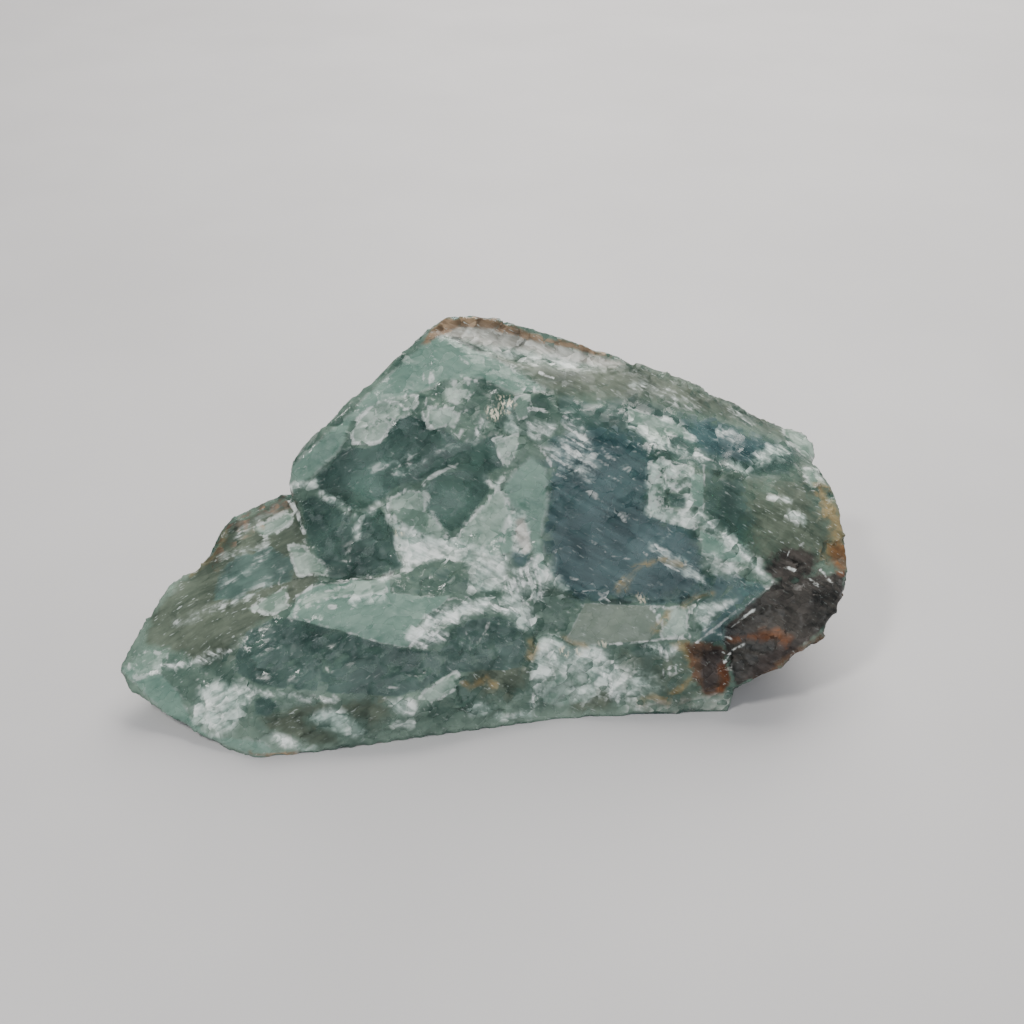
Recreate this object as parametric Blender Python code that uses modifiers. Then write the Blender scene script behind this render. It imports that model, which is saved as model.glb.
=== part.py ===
"""A rough piece of green fluorite: one broken lump with flat cleavage faces, ledges and hackly edges.

The lump is made as the real one broke: a few flat-sided masses grown into one, hollows and cracks
struck out of them, cleaved patches and chips over every face, and a flat cleavage face to rest on.
Metres, +Z up. The origin is on the surface that it rests on, under the middle of its box.
"""

import bmesh
import bpy
from mathutils import Vector, noise

MM = 0.001

NODE_NAME = "fluorite"
LENGTH = 73.0 * MM
GRAIN = 0.7 * MM
MOST_TRIANGLES = 9400

# How the broken surface departs from the flat sides of the masses: a slow bend over all of it,
# cleaved patches that lean a little each, and hackle that is rougher on the back and under the nose.
BEND = 0.35 * MM
BEND_SIZE = 12 * MM
PATCH_SIZE = 5.0 * MM
PATCH_LEAN = 0.1
PATCH_STEP = 0.14 * MM
HACKLE_SIZE = 2.2 * MM
SMOOTH_HACKLE = 0.12 * MM
ROUGH_HACKLE = 0.4 * MM
BACK_FROM = 11 * MM
NOSE_FROM = 17 * MM
NOSE_TOP = 9.5 * MM
BASE_FADE = 2.5 * MM
LEAN_SEED = 5.0
STEP_SEED = 9.0

# The masses that the lump is made of, each by its corners in millimetres: X to the right,
# Y to the back and Z up from the surface.
MASSES = {
    "summit_block": [
        (-5.2, 6.2, 29.4), (-7.9, 6.1, 29.4), (-11.2, 4.4, 27.4), (-15.6, 0.6, 24.4), (-17.9, -1.2, 22.8),
        (-20.4, -2.7, 20.8), (-21.8, -3.1, 19.1), (-22.0, -3.2, 17.4), (-20.3, -5.3, 14.0), (-17.6, -8.4, 9.2),
        (-10.3, -9.2, 11.0), (-4.0, -9.6, 13.2), (2.8, -11.8, 8.6), (13.4, -12.8, 9.6), (14.5, -3.4, 21.2),
        (19.8, -7.1, 15.2), (1.8, -0.6, 25.8), (8.0, 3.0, 25.6), (12.5, 9.0, 24.6), (-6.0, 12.0, 27.0),
        (-17.0, 5.0, 6.0), (-10.0, 13.0, 4.0), (12.0, 14.0, 4.0), (-16.0, -6.0, 2.0), (16.0, -10.0, 2.0),
    ],
    "back_slab": [
        (-7.2, 7.6, 29.6), (-5.6, 8.7, 30.6), (-1.2, 8.7, 30.3), (2.6, 8.6, 29.3), (9.3, 8.4, 27.4),
        (12.7, 9.4, 25.4), (-10.2, 9.0, 26.2), (-4.0, 13.6, 23.4), (6.0, 15.0, 21.0), (13.2, 14.2, 18.6),
        (-12.8, 12.2, 17.0), (-9.0, 15.8, 11.0), (7.4, 18.2, 12.2), (15.0, 17.0, 10.0), (6.0, 6.0, 24.0),
        (-13.0, 12.0, -1.0), (-2.0, 16.6, -1.0), (9.0, 16.0, -1.0), (15.0, 12.0, -1.0), (0.0, 0.0, -1.0),
    ],
    "back_ledge": [
        (11.0, 14.4, 12.4), (21.6, 15.4, 9.8), (27.0, 12.8, 8.8), (19.6, 17.8, 5.4), (11.6, 19.2, 6.4),
        (24.4, 14.2, 2.4), (13.0, 17.0, -1.0), (21.6, 11.6, -1.0), (10.0, 8.0, -1.0),
    ],
    "back_shoulder": [
        (-20.6, -1.6, 20.4), (-17.4, 3.8, 21.4), (-13.6, 9.6, 19.6), (-19.8, 5.2, 13.0), (-16.6, 10.8, 9.0),
        (-21.6, 1.8, 8.2), (-19.6, 6.2, -1.0), (-14.0, 10.4, -1.0), (-8.0, 0.0, -1.0), (-18.0, -3.0, 10.0),
        (-8.0, 6.0, 24.0), (-9.6, 13.0, 18.6), (-10.2, 14.4, 10.6), (-9.4, 13.6, -1.0),
    ],
    "right_slope": [
        (12.5, 9.4, 25.2), (17.5, 10.0, 23.2), (23.6, 10.4, 20.0), (28.2, 10.8, 17.6), (33.4, 8.6, 14.2),
        (34.2, 1.2, 14.6), (35.0, -1.6, 13.8), (35.4, -5.6, 12.2), (35.5, -7.4, 11.0), (34.6, -10.4, 9.4),
        (28.8, -11.4, 10.2), (19.8, -7.1, 15.2), (14.5, -3.4, 21.2),
        (13.0, 15.0, 8.0), (25.6, 14.6, 8.2), (31.4, 9.6, 8.0), (32.0, -6.0, 6.6), (27.4, 8.4, 3.4),
        (27.0, -6.0, 3.0), (12.0, -9.0, 2.0), (12.0, 10.0, 2.0),
    ],
    "right_knob": [
        (31.4, 11.6, 15.9), (33.8, 10.4, 15.4), (34.7, 8.8, 14.8), (34.5, 6.8, 14.2), (31.4, 5.4, 15.9),
        (29.6, 8.0, 16.8), (31.0, 8.0, 9.0), (33.0, 7.4, 10.0), (28.0, 9.0, 12.0),
    ],
    "brown_nose": [
        (19.4, -14.4, 6.4), (19.4, -12.6, 10.6), (26.1, -11.8, 11.0), (33.9, -9.8, 10.6), (34.6, -9.4, 9.2),
        (33.0, -12.6, 8.2), (30.6, -14.0, 7.4), (26.4, -15.0, 7.6), (22.6, -15.6, 5.4),
        (22.0, -12.0, 2.0), (30.0, -8.0, 5.0),
    ],
    "nose_step": [
        (22.0, -16.8, 5.6), (25.6, -16.0, 6.8), (28.6, -15.6, 6.6), (31.6, -14.2, 7.0), (32.2, -12.6, 6.4),
        (28.2, -16.3, 5.2), (25.0, -17.4, 3.4), (22.6, -17.8, 2.4), (22.0, -12.0, 1.0), (28.0, -10.0, 3.0),
    ],
    "front_ledge": [
        (7.0, -11.9, 9.4), (18.6, -12.9, 10.2), (19.6, -15.2, 7.0), (13.6, -15.1, 6.7), (6.6, -14.6, 6.8),
        (4.4, -14.6, 6.8), (8.8, -18.0, -1.0), (14.6, -17.7, -1.0), (22.9, -17.7, -1.0), (22.8, -17.6, 1.2),
        (2.0, -18.8, -1.0), (4.0, -8.0, -1.0), (22.0, -8.0, -1.0), (24.0, -11.0, 7.0),
    ],
    "root": [
        (-24.0, -23.4, -1.0), (-20.6, -23.6, -1.0), (2.0, -18.6, -1.0), (22.6, -17.4, -1.0), (24.2, -10.0, -1.0),
        (23.4, 2.0, -1.0), (19.0, 11.6, -1.0), (8.0, 15.6, -1.0), (-10.0, 14.0, -1.0), (-20.4, 4.6, -1.0),
        (-26.6, -5.0, -1.0), (-28.4, -14.0, -1.0), (-28.0, -12.0, 4.6), (-21.0, 1.6, 7.4), (-11.0, 11.0, 9.0),
        (9.0, 13.4, 9.0), (22.0, 10.0, 8.0), (25.4, 0.0, 6.6), (23.4, -10.0, 5.6), (-22.0, -18.0, 4.0),
    ],
    "centre_fill": [
        (-6.0, -6.0, 14.0), (12.0, -6.0, 14.0), (2.0, -11.4, 10.0), (10.0, -11.6, 9.8), (-6.0, -12.0, 9.0),
        (-2.0, -15.0, 6.4), (8.0, -14.4, 6.4), (-6.0, -14.0, -1.0), (10.0, -14.0, -1.0), (10.0, 4.0, -1.0),
        (-6.0, 4.0, -1.0),
    ],
    "front_right": [
        (14.5, -3.4, 21.2), (19.8, -7.3, 15.3), (28.8, -11.8, 10.5), (13.4, -12.8, 9.6), (19.4, -12.9, 10.4),
        (14.0, -4.0, 4.0), (26.0, -6.0, 6.0), (20.0, -9.0, 2.0),
    ],
    "clear_lozenge": [
        (-10.6, -9.9, 11.5), (-8.2, -9.7, 12.7), (-3.6, -10.2, 12.8), (-2.7, -11.9, 11.4), (-4.7, -12.8, 10.7),
        (-10.2, -12.3, 11.1), (-8.0, -9.0, 8.0), (-4.0, -9.0, 8.0),
    ],
    "veil_ridge": [
        (-9.4, -16.8, 8.6), (-3.1, -13.9, 9.9), (2.9, -13.0, 9.9), (2.9, -14.9, 8.1), (-4.8, -17.2, 7.6),
        (-6.0, -12.0, 5.0), (2.0, -12.0, 5.0),
    ],
    "mint_shelf": [
        (-19.8, -15.3, 10.4), (-17.2, -11.6, 12.0), (-3.1, -9.6, 12.4), (2.7, -12.6, 9.8), (-9.4, -16.9, 8.9),
        (-16.0, -8.0, 2.0), (2.0, -8.0, 2.0), (-14.0, -15.0, 3.0), (2.0, -14.0, 3.0),
    ],
    "front_apron": [
        (-19.6, -15.0, 9.6), (-9.4, -16.4, 8.0), (2.8, -15.8, 7.0), (6.6, -14.8, 6.6), (1.8, -18.2, 3.6),
        (-16.2, -19.9, 4.8), (-23.8, -19.7, 5.6), (-25.4, -16.6, 8.2), (-22.9, -21.6, 4.4), (-9.6, -20.7, 3.6),
        (-0.9, -19.9, -1.0), (-9.4, -21.0, -1.0), (-17.7, -23.1, -1.0), (-21.0, -23.9, -1.0), (-24.0, -23.9, -0.2),
        (-24.0, -10.0, -1.0), (4.0, -8.0, -1.0), (8.8, -17.9, -1.0), (6.0, -17.4, 3.0),
    ],
    "left_arm": [
        (-22.6, -0.2, 15.0), (-26.6, -1.4, 13.9), (-29.4, -2.9, 12.4), (-30.6, -6.6, 10.8), (-25.4, -16.6, 8.2),
        (-19.4, -15.0, 9.8), (-14.0, -8.0, 11.5), (-20.0, 5.0, 6.0), (-29.0, -3.0, 4.0), (-30.0, -10.0, 2.0),
        (-20.0, -18.0, -1.0), (-12.0, 0.0, -1.0), (-24.0, -2.0, 0.5),
    ],
    "left_toe": [
        (-29.8, -5.6, 11.0), (-32.6, -7.8, 9.9), (-34.4, -9.4, 8.9), (-36.0, -10.6, 7.4), (-36.5, -13.0, 5.8),
        (-38.2, -15.8, 4.0), (-36.2, -17.8, 2.6), (-33.2, -19.7, 1.4), (-29.3, -21.8, 0.7), (-25.8, -23.0, 0.0),
        (-24.0, -23.8, -0.6), (-23.8, -19.7, 5.6), (-25.4, -16.6, 8.3), (-24.0, -8.0, 10.5), (-34.5, -13.0, 2.0),
        (-28.0, -12.0, -1.0), (-22.0, -20.0, -1.0),
    ],
}

# The hollows and cracks struck out of the masses, by their corners in millimetres.
HOLLOWS = {
    "front_hollow": [
        (-7.6, -3.8, 20.4), (-2.1, -3.0, 21.6), (-0.9, -5.1, 18.4), (-5.1, -7.0, 12.9), (-10.2, -7.1, 14.7),
        (0.1, -6.0, 18.9), (1.8, -10.0, 13.8), (-5.2, -11.2, 11.9), (-10.6, -9.0, 13.6), (-4.0, -13.4, 21.5),
    ],
    "left_face": [
        (-20.0, -4.2, 16.4), (-15.5, -4.4, 17.0), (-11.5, -5.8, 15.0), (-10.1, -8.9, 11.3), (-17.3, -8.3, 11.2),
        (-22.5, -8.0, 20.0), (-15.5, -9.5, 22.0), (-9.8, -10.9, 19.0), (-8.8, -13.6, 15.0), (-18.5, -13.2, 15.4),
    ],
    "top_crack": [
        (-6.2, 5.4, 29.6), (-1.8, 5.0, 28.9), (2.0, 5.1, 28.1), (6.4, 3.9, 26.6),
        (-6.2, 6.9, 29.9), (-1.8, 6.7, 29.3), (2.0, 6.8, 28.4), (6.4, 5.2, 26.9),
        (-5.2, 6.2, 28.1), (-1.8, 6.1, 27.3), (2.0, 6.1, 26.4), (5.2, 5.0, 25.5),
    ],
    "ledge_crack": [
        (3.2, -12.2, 10.3), (7.2, -12.4, 10.2), (13.8, -12.9, 10.5), (20.6, -13.0, 11.1),
        (3.2, -13.2, 9.6), (7.2, -13.3, 9.4), (13.8, -13.7, 9.7), (20.6, -13.8, 10.3),
        (4.2, -11.0, 9.1), (7.2, -10.8, 8.9), (13.8, -11.2, 9.2), (19.4, -11.6, 9.9),
    ],
}


def solid_from_corners(name, corners):
    """The flat-sided solid that stands on these corners, as a helper object."""
    shape = bmesh.new()
    for corner in corners:
        shape.verts.new(Vector(corner) * MM)
    hull = bmesh.ops.convex_hull(shape, input=shape.verts)
    inside = [v for v in hull["geom_interior"] if isinstance(v, bmesh.types.BMVert)]
    bmesh.ops.delete(shape, geom=inside, context="VERTS")
    bmesh.ops.recalc_face_normals(shape, faces=shape.faces)
    mesh = bpy.data.meshes.new(name)
    shape.to_mesh(mesh)
    shape.free()
    helper = bpy.data.objects.new(name, mesh)
    helper.hide_render = True
    helper.display_type = "WIRE"
    return helper


def add_boolean(lump, operation, helper):
    """Joins the helper to the lump, or strikes it out."""
    step = lump.modifiers.new(helper.name, "BOOLEAN")
    step.operation = operation
    step.object = helper


def apply_modifiers(lump):
    """Makes the shape that the lump's modifiers give its own mesh."""
    graph = bpy.context.evaluated_depsgraph_get()
    mesh = bpy.data.meshes.new_from_object(lump.evaluated_get(graph))
    lump.modifiers.clear()
    lump.data = mesh


def cleaved(place):
    """The height at a place on cleaved stone: flat patches, each leaning its own way."""
    centre = noise.voronoi(place / PATCH_SIZE)[1][0]
    lean = noise.cell_vector(centre * LEAN_SEED) - Vector((0.5, 0.5, 0.5))
    step = noise.cell(centre * STEP_SEED) - 0.5
    return PATCH_LEAN * lean.dot(place - centre * PATCH_SIZE) + PATCH_STEP * step


def height_at(place):
    """How far the broken surface stands out of the flat side at a place."""
    under_nose = place.x > NOSE_FROM and place.z < NOSE_TOP
    hackle = ROUGH_HACKLE if place.y > BACK_FROM or under_nose else SMOOTH_HACKLE
    height = BEND * noise.noise(place / BEND_SIZE) + cleaved(place) + hackle * noise.noise(place / HACKLE_SIZE)
    return height * min(1.0, max(0.0, place.z / BASE_FADE))


def break_surface(lump):
    """Breaks the flat sides up, and leaves the underside flat."""
    shape = bmesh.new()
    shape.from_mesh(lump.data)
    shape.normal_update()
    moves = [vert.normal * height_at(vert.co) for vert in shape.verts]
    for vert, move in zip(shape.verts, moves):
        vert.co += move
    shape.to_mesh(lump.data)
    shape.free()


def thin_out(lump):
    """Merges faces where the surface is nearly flat, down to the most triangles that the lump may have."""
    triangles = sum(len(face.vertices) - 2 for face in lump.data.polygons)
    thin = lump.modifiers.new("fewer_faces", "DECIMATE")
    thin.ratio = min(1.0, MOST_TRIANGLES / triangles)
    apply_modifiers(lump)


def rest_on_base(lump):
    """Cuts the underside flat, sets the length, and puts the origin on the base, under the middle."""
    shape = bmesh.new()
    shape.from_mesh(lump.data)
    everything = shape.verts[:] + shape.edges[:] + shape.faces[:]
    cut = bmesh.ops.bisect_plane(shape, geom=everything, plane_co=(0, 0, 0), plane_no=(0, 0, -1), clear_outer=True)
    rim = [edge for edge in cut["geom_cut"] if isinstance(edge, bmesh.types.BMEdge)]
    bmesh.ops.triangle_fill(shape, edges=rim, use_beauty=True)
    bmesh.ops.triangulate(shape, faces=shape.faces)
    bmesh.ops.recalc_face_normals(shape, faces=shape.faces)
    low = Vector(min(vert.co[axis] for vert in shape.verts) for axis in range(3))
    high = Vector(max(vert.co[axis] for vert in shape.verts) for axis in range(3))
    foot = Vector(((low.x + high.x) / 2, (low.y + high.y) / 2, low.z))
    growth = LENGTH / (high.x - low.x)
    bmesh.ops.translate(shape, vec=-foot, verts=shape.verts)
    bmesh.ops.scale(shape, vec=Vector((growth, growth, growth)), verts=shape.verts)
    shape.to_mesh(lump.data)
    shape.free()


def fluorite_material():
    """Dusky green stone with a soft glassy shine."""
    finish = bpy.data.materials.new("green_fluorite")
    finish.use_nodes = True
    shader = finish.node_tree.nodes["Principled BSDF"]
    shader.inputs["Base Color"].default_value = (0.12, 0.2, 0.17, 1)
    shader.inputs["Roughness"].default_value = 0.35
    shader.inputs["Metallic"].default_value = 0.0
    return finish


def main():
    for old in list(bpy.data.objects):
        bpy.data.objects.remove(old)
    stone = bpy.data.collections.new("rough_fluorite")
    helpers = bpy.data.collections.new("masses_and_hollows")
    bpy.context.scene.collection.children.link(stone)
    bpy.context.scene.collection.children.link(helpers)

    masses = [solid_from_corners(name, corners) for name, corners in MASSES.items()]
    hollows = [solid_from_corners(name, corners) for name, corners in HOLLOWS.items()]
    for helper in masses + hollows:
        helpers.objects.link(helper)

    lump = bpy.data.objects.new(NODE_NAME, masses[0].data.copy())
    stone.objects.link(lump)
    for mass in masses[1:]:
        add_boolean(lump, "UNION", mass)
    for hollow in hollows:
        add_boolean(lump, "DIFFERENCE", hollow)
    grain = lump.modifiers.new("even_grain", "REMESH")
    grain.mode = "VOXEL"
    grain.voxel_size = GRAIN
    apply_modifiers(lump)

    break_surface(lump)
    thin_out(lump)
    rest_on_base(lump)
    lump.data.materials.append(fluorite_material())


if __name__ == "__main__":
    main()
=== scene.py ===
"""Dresses the rough green fluorite and sets it on a pale surface in soft window light.

The stone's own mesh is copied, given an even fine grain and broken into small cleaved patches. The
markings of the real stone are laid on it by their outlines, as the camera sees them, and each marking
is kept as a field on the mesh: how far inside its edge a point lies. The material turns the fields
into veils, clear windows, veins, stains and crust, and into painted glints, painted glow, painted
shade in the crevices and painted shade on the facets, with edges roughened by noise in the stone itself.
"""

import logging
import math
from dataclasses import dataclass, field
from enum import Enum
import bmesh
import bpy
import numpy as np
from mathutils import Matrix, Vector, noise
from mathutils.bvhtree import BVHTree


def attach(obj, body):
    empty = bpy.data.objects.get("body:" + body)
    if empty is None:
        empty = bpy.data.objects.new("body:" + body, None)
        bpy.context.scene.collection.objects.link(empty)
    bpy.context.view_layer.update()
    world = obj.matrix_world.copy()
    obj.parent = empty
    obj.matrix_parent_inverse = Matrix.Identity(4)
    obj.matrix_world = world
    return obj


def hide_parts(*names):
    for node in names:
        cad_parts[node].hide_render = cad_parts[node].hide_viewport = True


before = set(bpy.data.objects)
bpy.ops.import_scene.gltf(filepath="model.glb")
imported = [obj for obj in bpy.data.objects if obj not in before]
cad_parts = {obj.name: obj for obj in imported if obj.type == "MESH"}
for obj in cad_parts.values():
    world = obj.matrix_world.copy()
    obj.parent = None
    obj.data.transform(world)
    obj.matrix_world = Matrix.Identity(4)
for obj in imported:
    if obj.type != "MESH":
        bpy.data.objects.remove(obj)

LOG = logging.getLogger("fluorite")
MM = 0.001
PICTURE = 1024
NODE = "fluorite"
HALF_LENGTH = 36 * MM
FAR = 12.0  # picture points inside or outside an edge, the most that a field says


class Kind(Enum):
    """The kinds of marking on the stone. Each is a field on the mesh, in picture points inside its edge."""

    DEEP = "deep"  # clear dark green faces
    DUSK = "dusk"  # clear dark blue faces
    OLIVE = "olive"  # dull olive faces
    MINT = "mint"  # clear pale green faces
    LEDGE = "ledge"  # the grey-green ledge in front
    PALE = "pale"  # thin pale plates
    MILK = "milk"  # thick milky cracks
    VEIL = "veil"  # cracks with splinters that fall to the right
    PLUME = "plume"  # cracks with splinters that rise to the right
    FROST = "frost"  # cracks with upright splinters
    VEIN = "vein"  # thin white lines
    PAINTED_GLINT = "glint"  # spots of painted sparkle: highlights as tiny bright specks
    OCHRE = "ochre"  # yellow stain
    EMBER = "ember"  # orange stain
    RUST = "rust"  # dark rust
    BROWN = "brown"  # dark brown stone
    CRUST = "crust"  # pale crust
    BARK = "bark"  # brown crust
    CREVICE_SHADE = "crevice_shade"  # painted shade in gaps and crevices
    CALM = "calm"  # faces that are only smoother, not coloured


@dataclass(frozen=True)
class Patch:
    """A marking that fills an outline, given in picture points.

    Args:
        kind: What the marking is made of.
        outline: The corners of its outline, as "x,y x,y".
        cover: How solid it is, in picture points: a low value lets the noise break it up.
        soft: How many times softer than usual its edge is.
    """

    kind: Kind
    outline: str
    cover: float = FAR
    soft: float = 1.0

    def field_at(self, points: np.ndarray) -> np.ndarray:
        """How far inside the outline each point lies.

        Args:
            points: Picture points, one row each.

        Returns:
            The distance to the outline, positive inside, at most the cover.
        """
        corners = points_in(self.outline)
        nearest = np.full(len(points), np.inf)
        inside = np.zeros(len(points), bool)
        for start, end in zip(corners, np.roll(corners, -1, axis=0)):
            nearest = np.minimum(nearest, distance_to_line(points, start, end))
            crosses = (start[1] > points[:, 1]) != (end[1] > points[:, 1])
            rise = end[1] - start[1] if end[1] != start[1] else 1.0
            reach = start[0] + (points[:, 1] - start[1]) * (end[0] - start[0]) / rise
            inside ^= crosses & (points[:, 0] < reach)
        return np.minimum(np.where(inside, nearest, -nearest) / self.soft, self.cover)


@dataclass(frozen=True)
class Streak:
    """A marking that follows a line, given in picture points.

    Args:
        kind: What the marking is made of.
        line: The points that it follows, as "x,y x,y".
        width: Its whole width at the middle.
        cover: How solid it is, in picture points.
        soft: How many times softer than usual its edge is.
    """

    kind: Kind
    line: str
    width: float = 4.0
    cover: float = FAR
    soft: float = 1.0

    def field_at(self, points: np.ndarray) -> np.ndarray:
        """How far inside the streak each point lies.

        Args:
            points: Picture points, one row each.

        Returns:
            The distance to the streak's edge, positive inside, at most the cover.
        """
        line = points_in(self.line)
        nearest = np.full(len(points), np.inf)
        for start, end in zip(line, line[1:]):
            nearest = np.minimum(nearest, distance_to_line(points, start, end))
        return np.minimum((self.width / 2 - nearest) / self.soft, self.cover)


def points_in(text: str) -> np.ndarray:
    """The picture points that a text such as "352,443 366,444" lists, one row each."""
    return np.array([[float(part) for part in pair.split(",")] for pair in text.split()])


def distance_to_line(points: np.ndarray, start: np.ndarray, end: np.ndarray) -> np.ndarray:
    """The distance from each point to a straight stretch.

    Args:
        points: Picture points, one row each.
        start: One end of the stretch.
        end: Its other end.

    Returns:
        One distance for each point.
    """
    along = end - start
    share = np.clip((points - start) @ along / max(float(along @ along), 1e-9), 0.0, 1.0)
    return np.linalg.norm(points - start - share[:, None] * along, axis=1)


SUMMIT_MARKINGS = (
    Patch(Kind.MINT,
        "446,336 428,340 405,360 372,390 350,414 320,440 294,464 286,476 288,490 310,478 340,450 352,420 "
        "384,400 420,392 445,380 480,378 515,392 548,390 505,364 470,346", 9.0, 1.6),
    Patch(Kind.MINT, "446,336 430,344 412,362 424,372 470,368 490,362 470,348", 9.0, 2.5),
    Patch(Kind.DEEP,
        "385,424 405,415 425,418 430,428 446,430 462,442 480,440 494,436 503,466 488,474 460,468 440,470 "
        "424,480 400,484 380,500 366,508 350,508 340,500 322,492 308,486 326,468 340,453 352,448 372,448 "
        "386,438", soft=1.4),
    Patch(Kind.PALE,
        "351,443 352,430 358,419 372,405 384,400 400,396 418,394 418,405 408,415 395,422 385,430 388,436 "
        "378,441 365,444", 1.2, 1.2),
    Streak(Kind.VEIN, "352,443 366,444 380,442 388,434", 3.4),
    Streak(Kind.VEIN, "352,441 353,430 360,418 374,404", 2.0),
    Streak(Kind.VEIN, "374,404 378,420 364,440", 1.6),
    Streak(Kind.VEIN, "356,428 372,424 388,414", 1.4, 0.6),
    Streak(Kind.VEIN, "384,400 400,403 404,410 414,408 418,395 402,396", 2.4),
    Streak(Kind.VEIN, "426,408 428,390 431,371 435,384 440,404 436,408", 1.6),
    Streak(Kind.VEIN, "424,370 424,380", 1.4, 0.6),
    Patch(Kind.PALE, "443,390 450,381 466,379 478,381 474,390 466,400 456,404 446,399", 0.8, 1.4),
    Streak(Kind.VEIN, "470,379 478,382", 3.4, 1.0),
    Streak(Kind.VEIN, "456,408 462,412 468,410", 3.0),
    Patch(Kind.PALE, "424,410 436,406 450,410 460,414 455,426 444,427 428,426", 3.0, 2.0),
    Streak(Kind.VEIN, "422,408 427,426 432,428 428,412", 1.8),
    Streak(Kind.VEIN, "445,426 452,431 456,442 460,434 462,430", 2.4),
    # painted highlights: a cluster of sparkling glints
    Patch(Kind.PAINTED_GLINT, "497,396 514,396 516,404 508,414 500,404", 8.0),
    Patch(Kind.PAINTED_GLINT, "486,407 497,405 502,414 498,421 488,418", 4.0),
    Patch(Kind.MILK, "505,402 513,402 514,420 509,420", 4.0),
    Streak(Kind.FROST, "484,418 480,426 476,436", 7.0),
    Patch(Kind.PALE, "516,396 530,394 529,416 518,420 514,410", 6.0, 1.2),
    Patch(Kind.MILK, "505,422 514,422 519,430 508,433", 3.0),
    Patch(Kind.VEIL, "526,420 545,421 558,424 558,430 548,440 528,441", 10.0, 0.6),
    Streak(Kind.VEIN, "528,408 542,410 548,412", 3.6),
    Streak(Kind.VEIN, "516,384 526,390 534,392 535,386", 2.4),
    Patch(Kind.PALE, "493,440 518,434 517,450 508,468 503,465", 1.5),
    Streak(Kind.VEIN, "493,440 498,452 504,466", 2.0),
    Streak(Kind.PLUME, "372,470 392,462 414,454", 8.0),
    Streak(Kind.PLUME, "396,474 416,466 430,462", 7.0),
    Streak(Kind.PLUME, "436,452 456,446 476,440", 8.0),
    Streak(Kind.VEIN, "392,470 404,464 414,462 417,455", 2.2, 1.0),
    Streak(Kind.VEIN, "424,486 430,478 440,472 448,468", 5.0, 1.5),
    Streak(Kind.VEIN, "452,468 458,464", 4.0),
    Patch(Kind.DEEP,
        "424,490 432,478 446,472 462,470 486,474 491,490 474,512 462,528 450,532 436,522 424,506"),
    Patch(Kind.PALE, "388,500 410,490 424,492 428,510 440,526 452,541 436,545 416,533 396,524", 8.0, 2.4),
    Patch(Kind.MINT,
        "498,488 504,496 510,510 512,530 514,551 492,557 470,549 446,549 452,540 470,520", soft=0.8),
    Patch(Kind.PALE, "498,488 504,496 508,510 502,540 480,548 452,545 470,520", 3.0, 2.5),
    Streak(Kind.VEIN, "446,548 470,520 497,490", 1.6, 1.0),
    Patch(Kind.MILK, "484,477 494,484 503,477 499,489 489,488", 6.0),
    Patch(Kind.MILK, "508,514 514,510 522,511 529,530 527,547 516,549 510,530"),
    Streak(Kind.MINT, "514,516 517,528 521,542", 3.4),
    Patch(Kind.MILK,
        "391,521 402,523 416,529 436,540 452,538 470,543 490,553 508,556 514,547 530,548 531,553 512,551 "
        "510,564 502,590 486,592 470,590 471,574 464,562 450,560 430,562 405,566 397,552"),
    Patch(Kind.MINT, "400,538 416,535 430,545 426,557 408,560 400,552", 8.0, 1.2),
    # painted highlight: a bright spot
    Streak(Kind.PAINTED_GLINT, "397,533 401,532", 6.0),
    Patch(Kind.DEEP, "485,563 490,565 492,574 487,577", 3.0),
    Patch(Kind.DEEP, "477,587 484,583 486,591", 3.0),
    Patch(Kind.FROST, "500,592 510,566 524,569 532,552 544,570 548,592 540,602 512,602"),
    Patch(Kind.DUSK, "511,553 520,549 530,552 531,560 524,566 513,565", 0.5),
    Streak(Kind.VEIN, "522,570 530,562 534,551", 2.6),
    Streak(Kind.VEIN, "526,578 534,568 539,554", 2.4),
    Streak(Kind.VEIN, "508,588 518,578 530,574", 2.4),
    Streak(Kind.VEIN, "536,592 530,582 520,584", 2.2),
    Patch(Kind.DEEP,
        "302,503 310,497 320,497 332,503 344,511 356,515 372,508 383,513 390,525 396,545 398,560 404,567 "
        "385,574 360,577 338,579 330,577 320,564 312,548 305,527", 0.9),
    Streak(Kind.MILK, "288,489 300,485 315,484", 7.0, 1.8),
    Streak(Kind.MILK, "322,494 338,503 348,511 357,518 357,536", 6.0, 1.6),
    Streak(Kind.MILK, "357,517 368,513 377,505 385,508 391,522", 5.0, 1.6),
    Streak(Kind.VEIN, "290,500 296,515 304,532", 4.0, 1.5),
    Streak(Kind.VEIN, "318,492 336,500 350,510", 2.0),
    Streak(Kind.VEIN, "346,554 350,548", 4.0, 1.0),
    Streak(Kind.CREVICE_SHADE, "330,579 356,580 380,576 400,569", 1.6),
)

CREST_MARKINGS = (
    Patch(Kind.CRUST,
        "440,330 456,324 500,326 540,340 590,352 625,364 600,367 560,357 520,350 490,347 "
        "462,340 446,336", 5.0, 1.5),
    Patch(Kind.BARK,
        "422,344 432,328 444,317 470,315 496,319 518,328 545,337 580,344 616,356 600,356 560,346 520,338 "
        "495,329 462,326 444,332 436,340"),
    Patch(Kind.MILK, "478,338 500,341 530,346 562,355 600,366 570,368 530,360 505,356 484,348", 1.5, 2.0),
    Streak(Kind.CREVICE_SHADE, "453,338 464,343 482,351", 4.4),
    Streak(Kind.OLIVE, "500,358 530,366 560,376", 7.0),
    Streak(Kind.VEIN, "500,361 510,367 521,375", 2.4),
    Streak(Kind.VEIN, "508,361 520,369", 2.0, 1.0),
    Streak(Kind.VEIN, "540,372 554,379", 2.6),
    Streak(Kind.VEIN, "460,358 468,364", 1.6, 0.6),
    Patch(Kind.OLIVE,
        "500,352 560,362 600,360 640,362 700,386 760,412 800,430 790,440 740,424 700,414 640,402 580,398 "
        "540,388", 5.0, 3.0),
    Streak(Kind.VEIL, "636,384 660,394 690,406", 9.0, 1.5, 2.0),
    Streak(Kind.VEIL, "735,410 750,420", 9.0, 3.0, 1.5),
)

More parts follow.
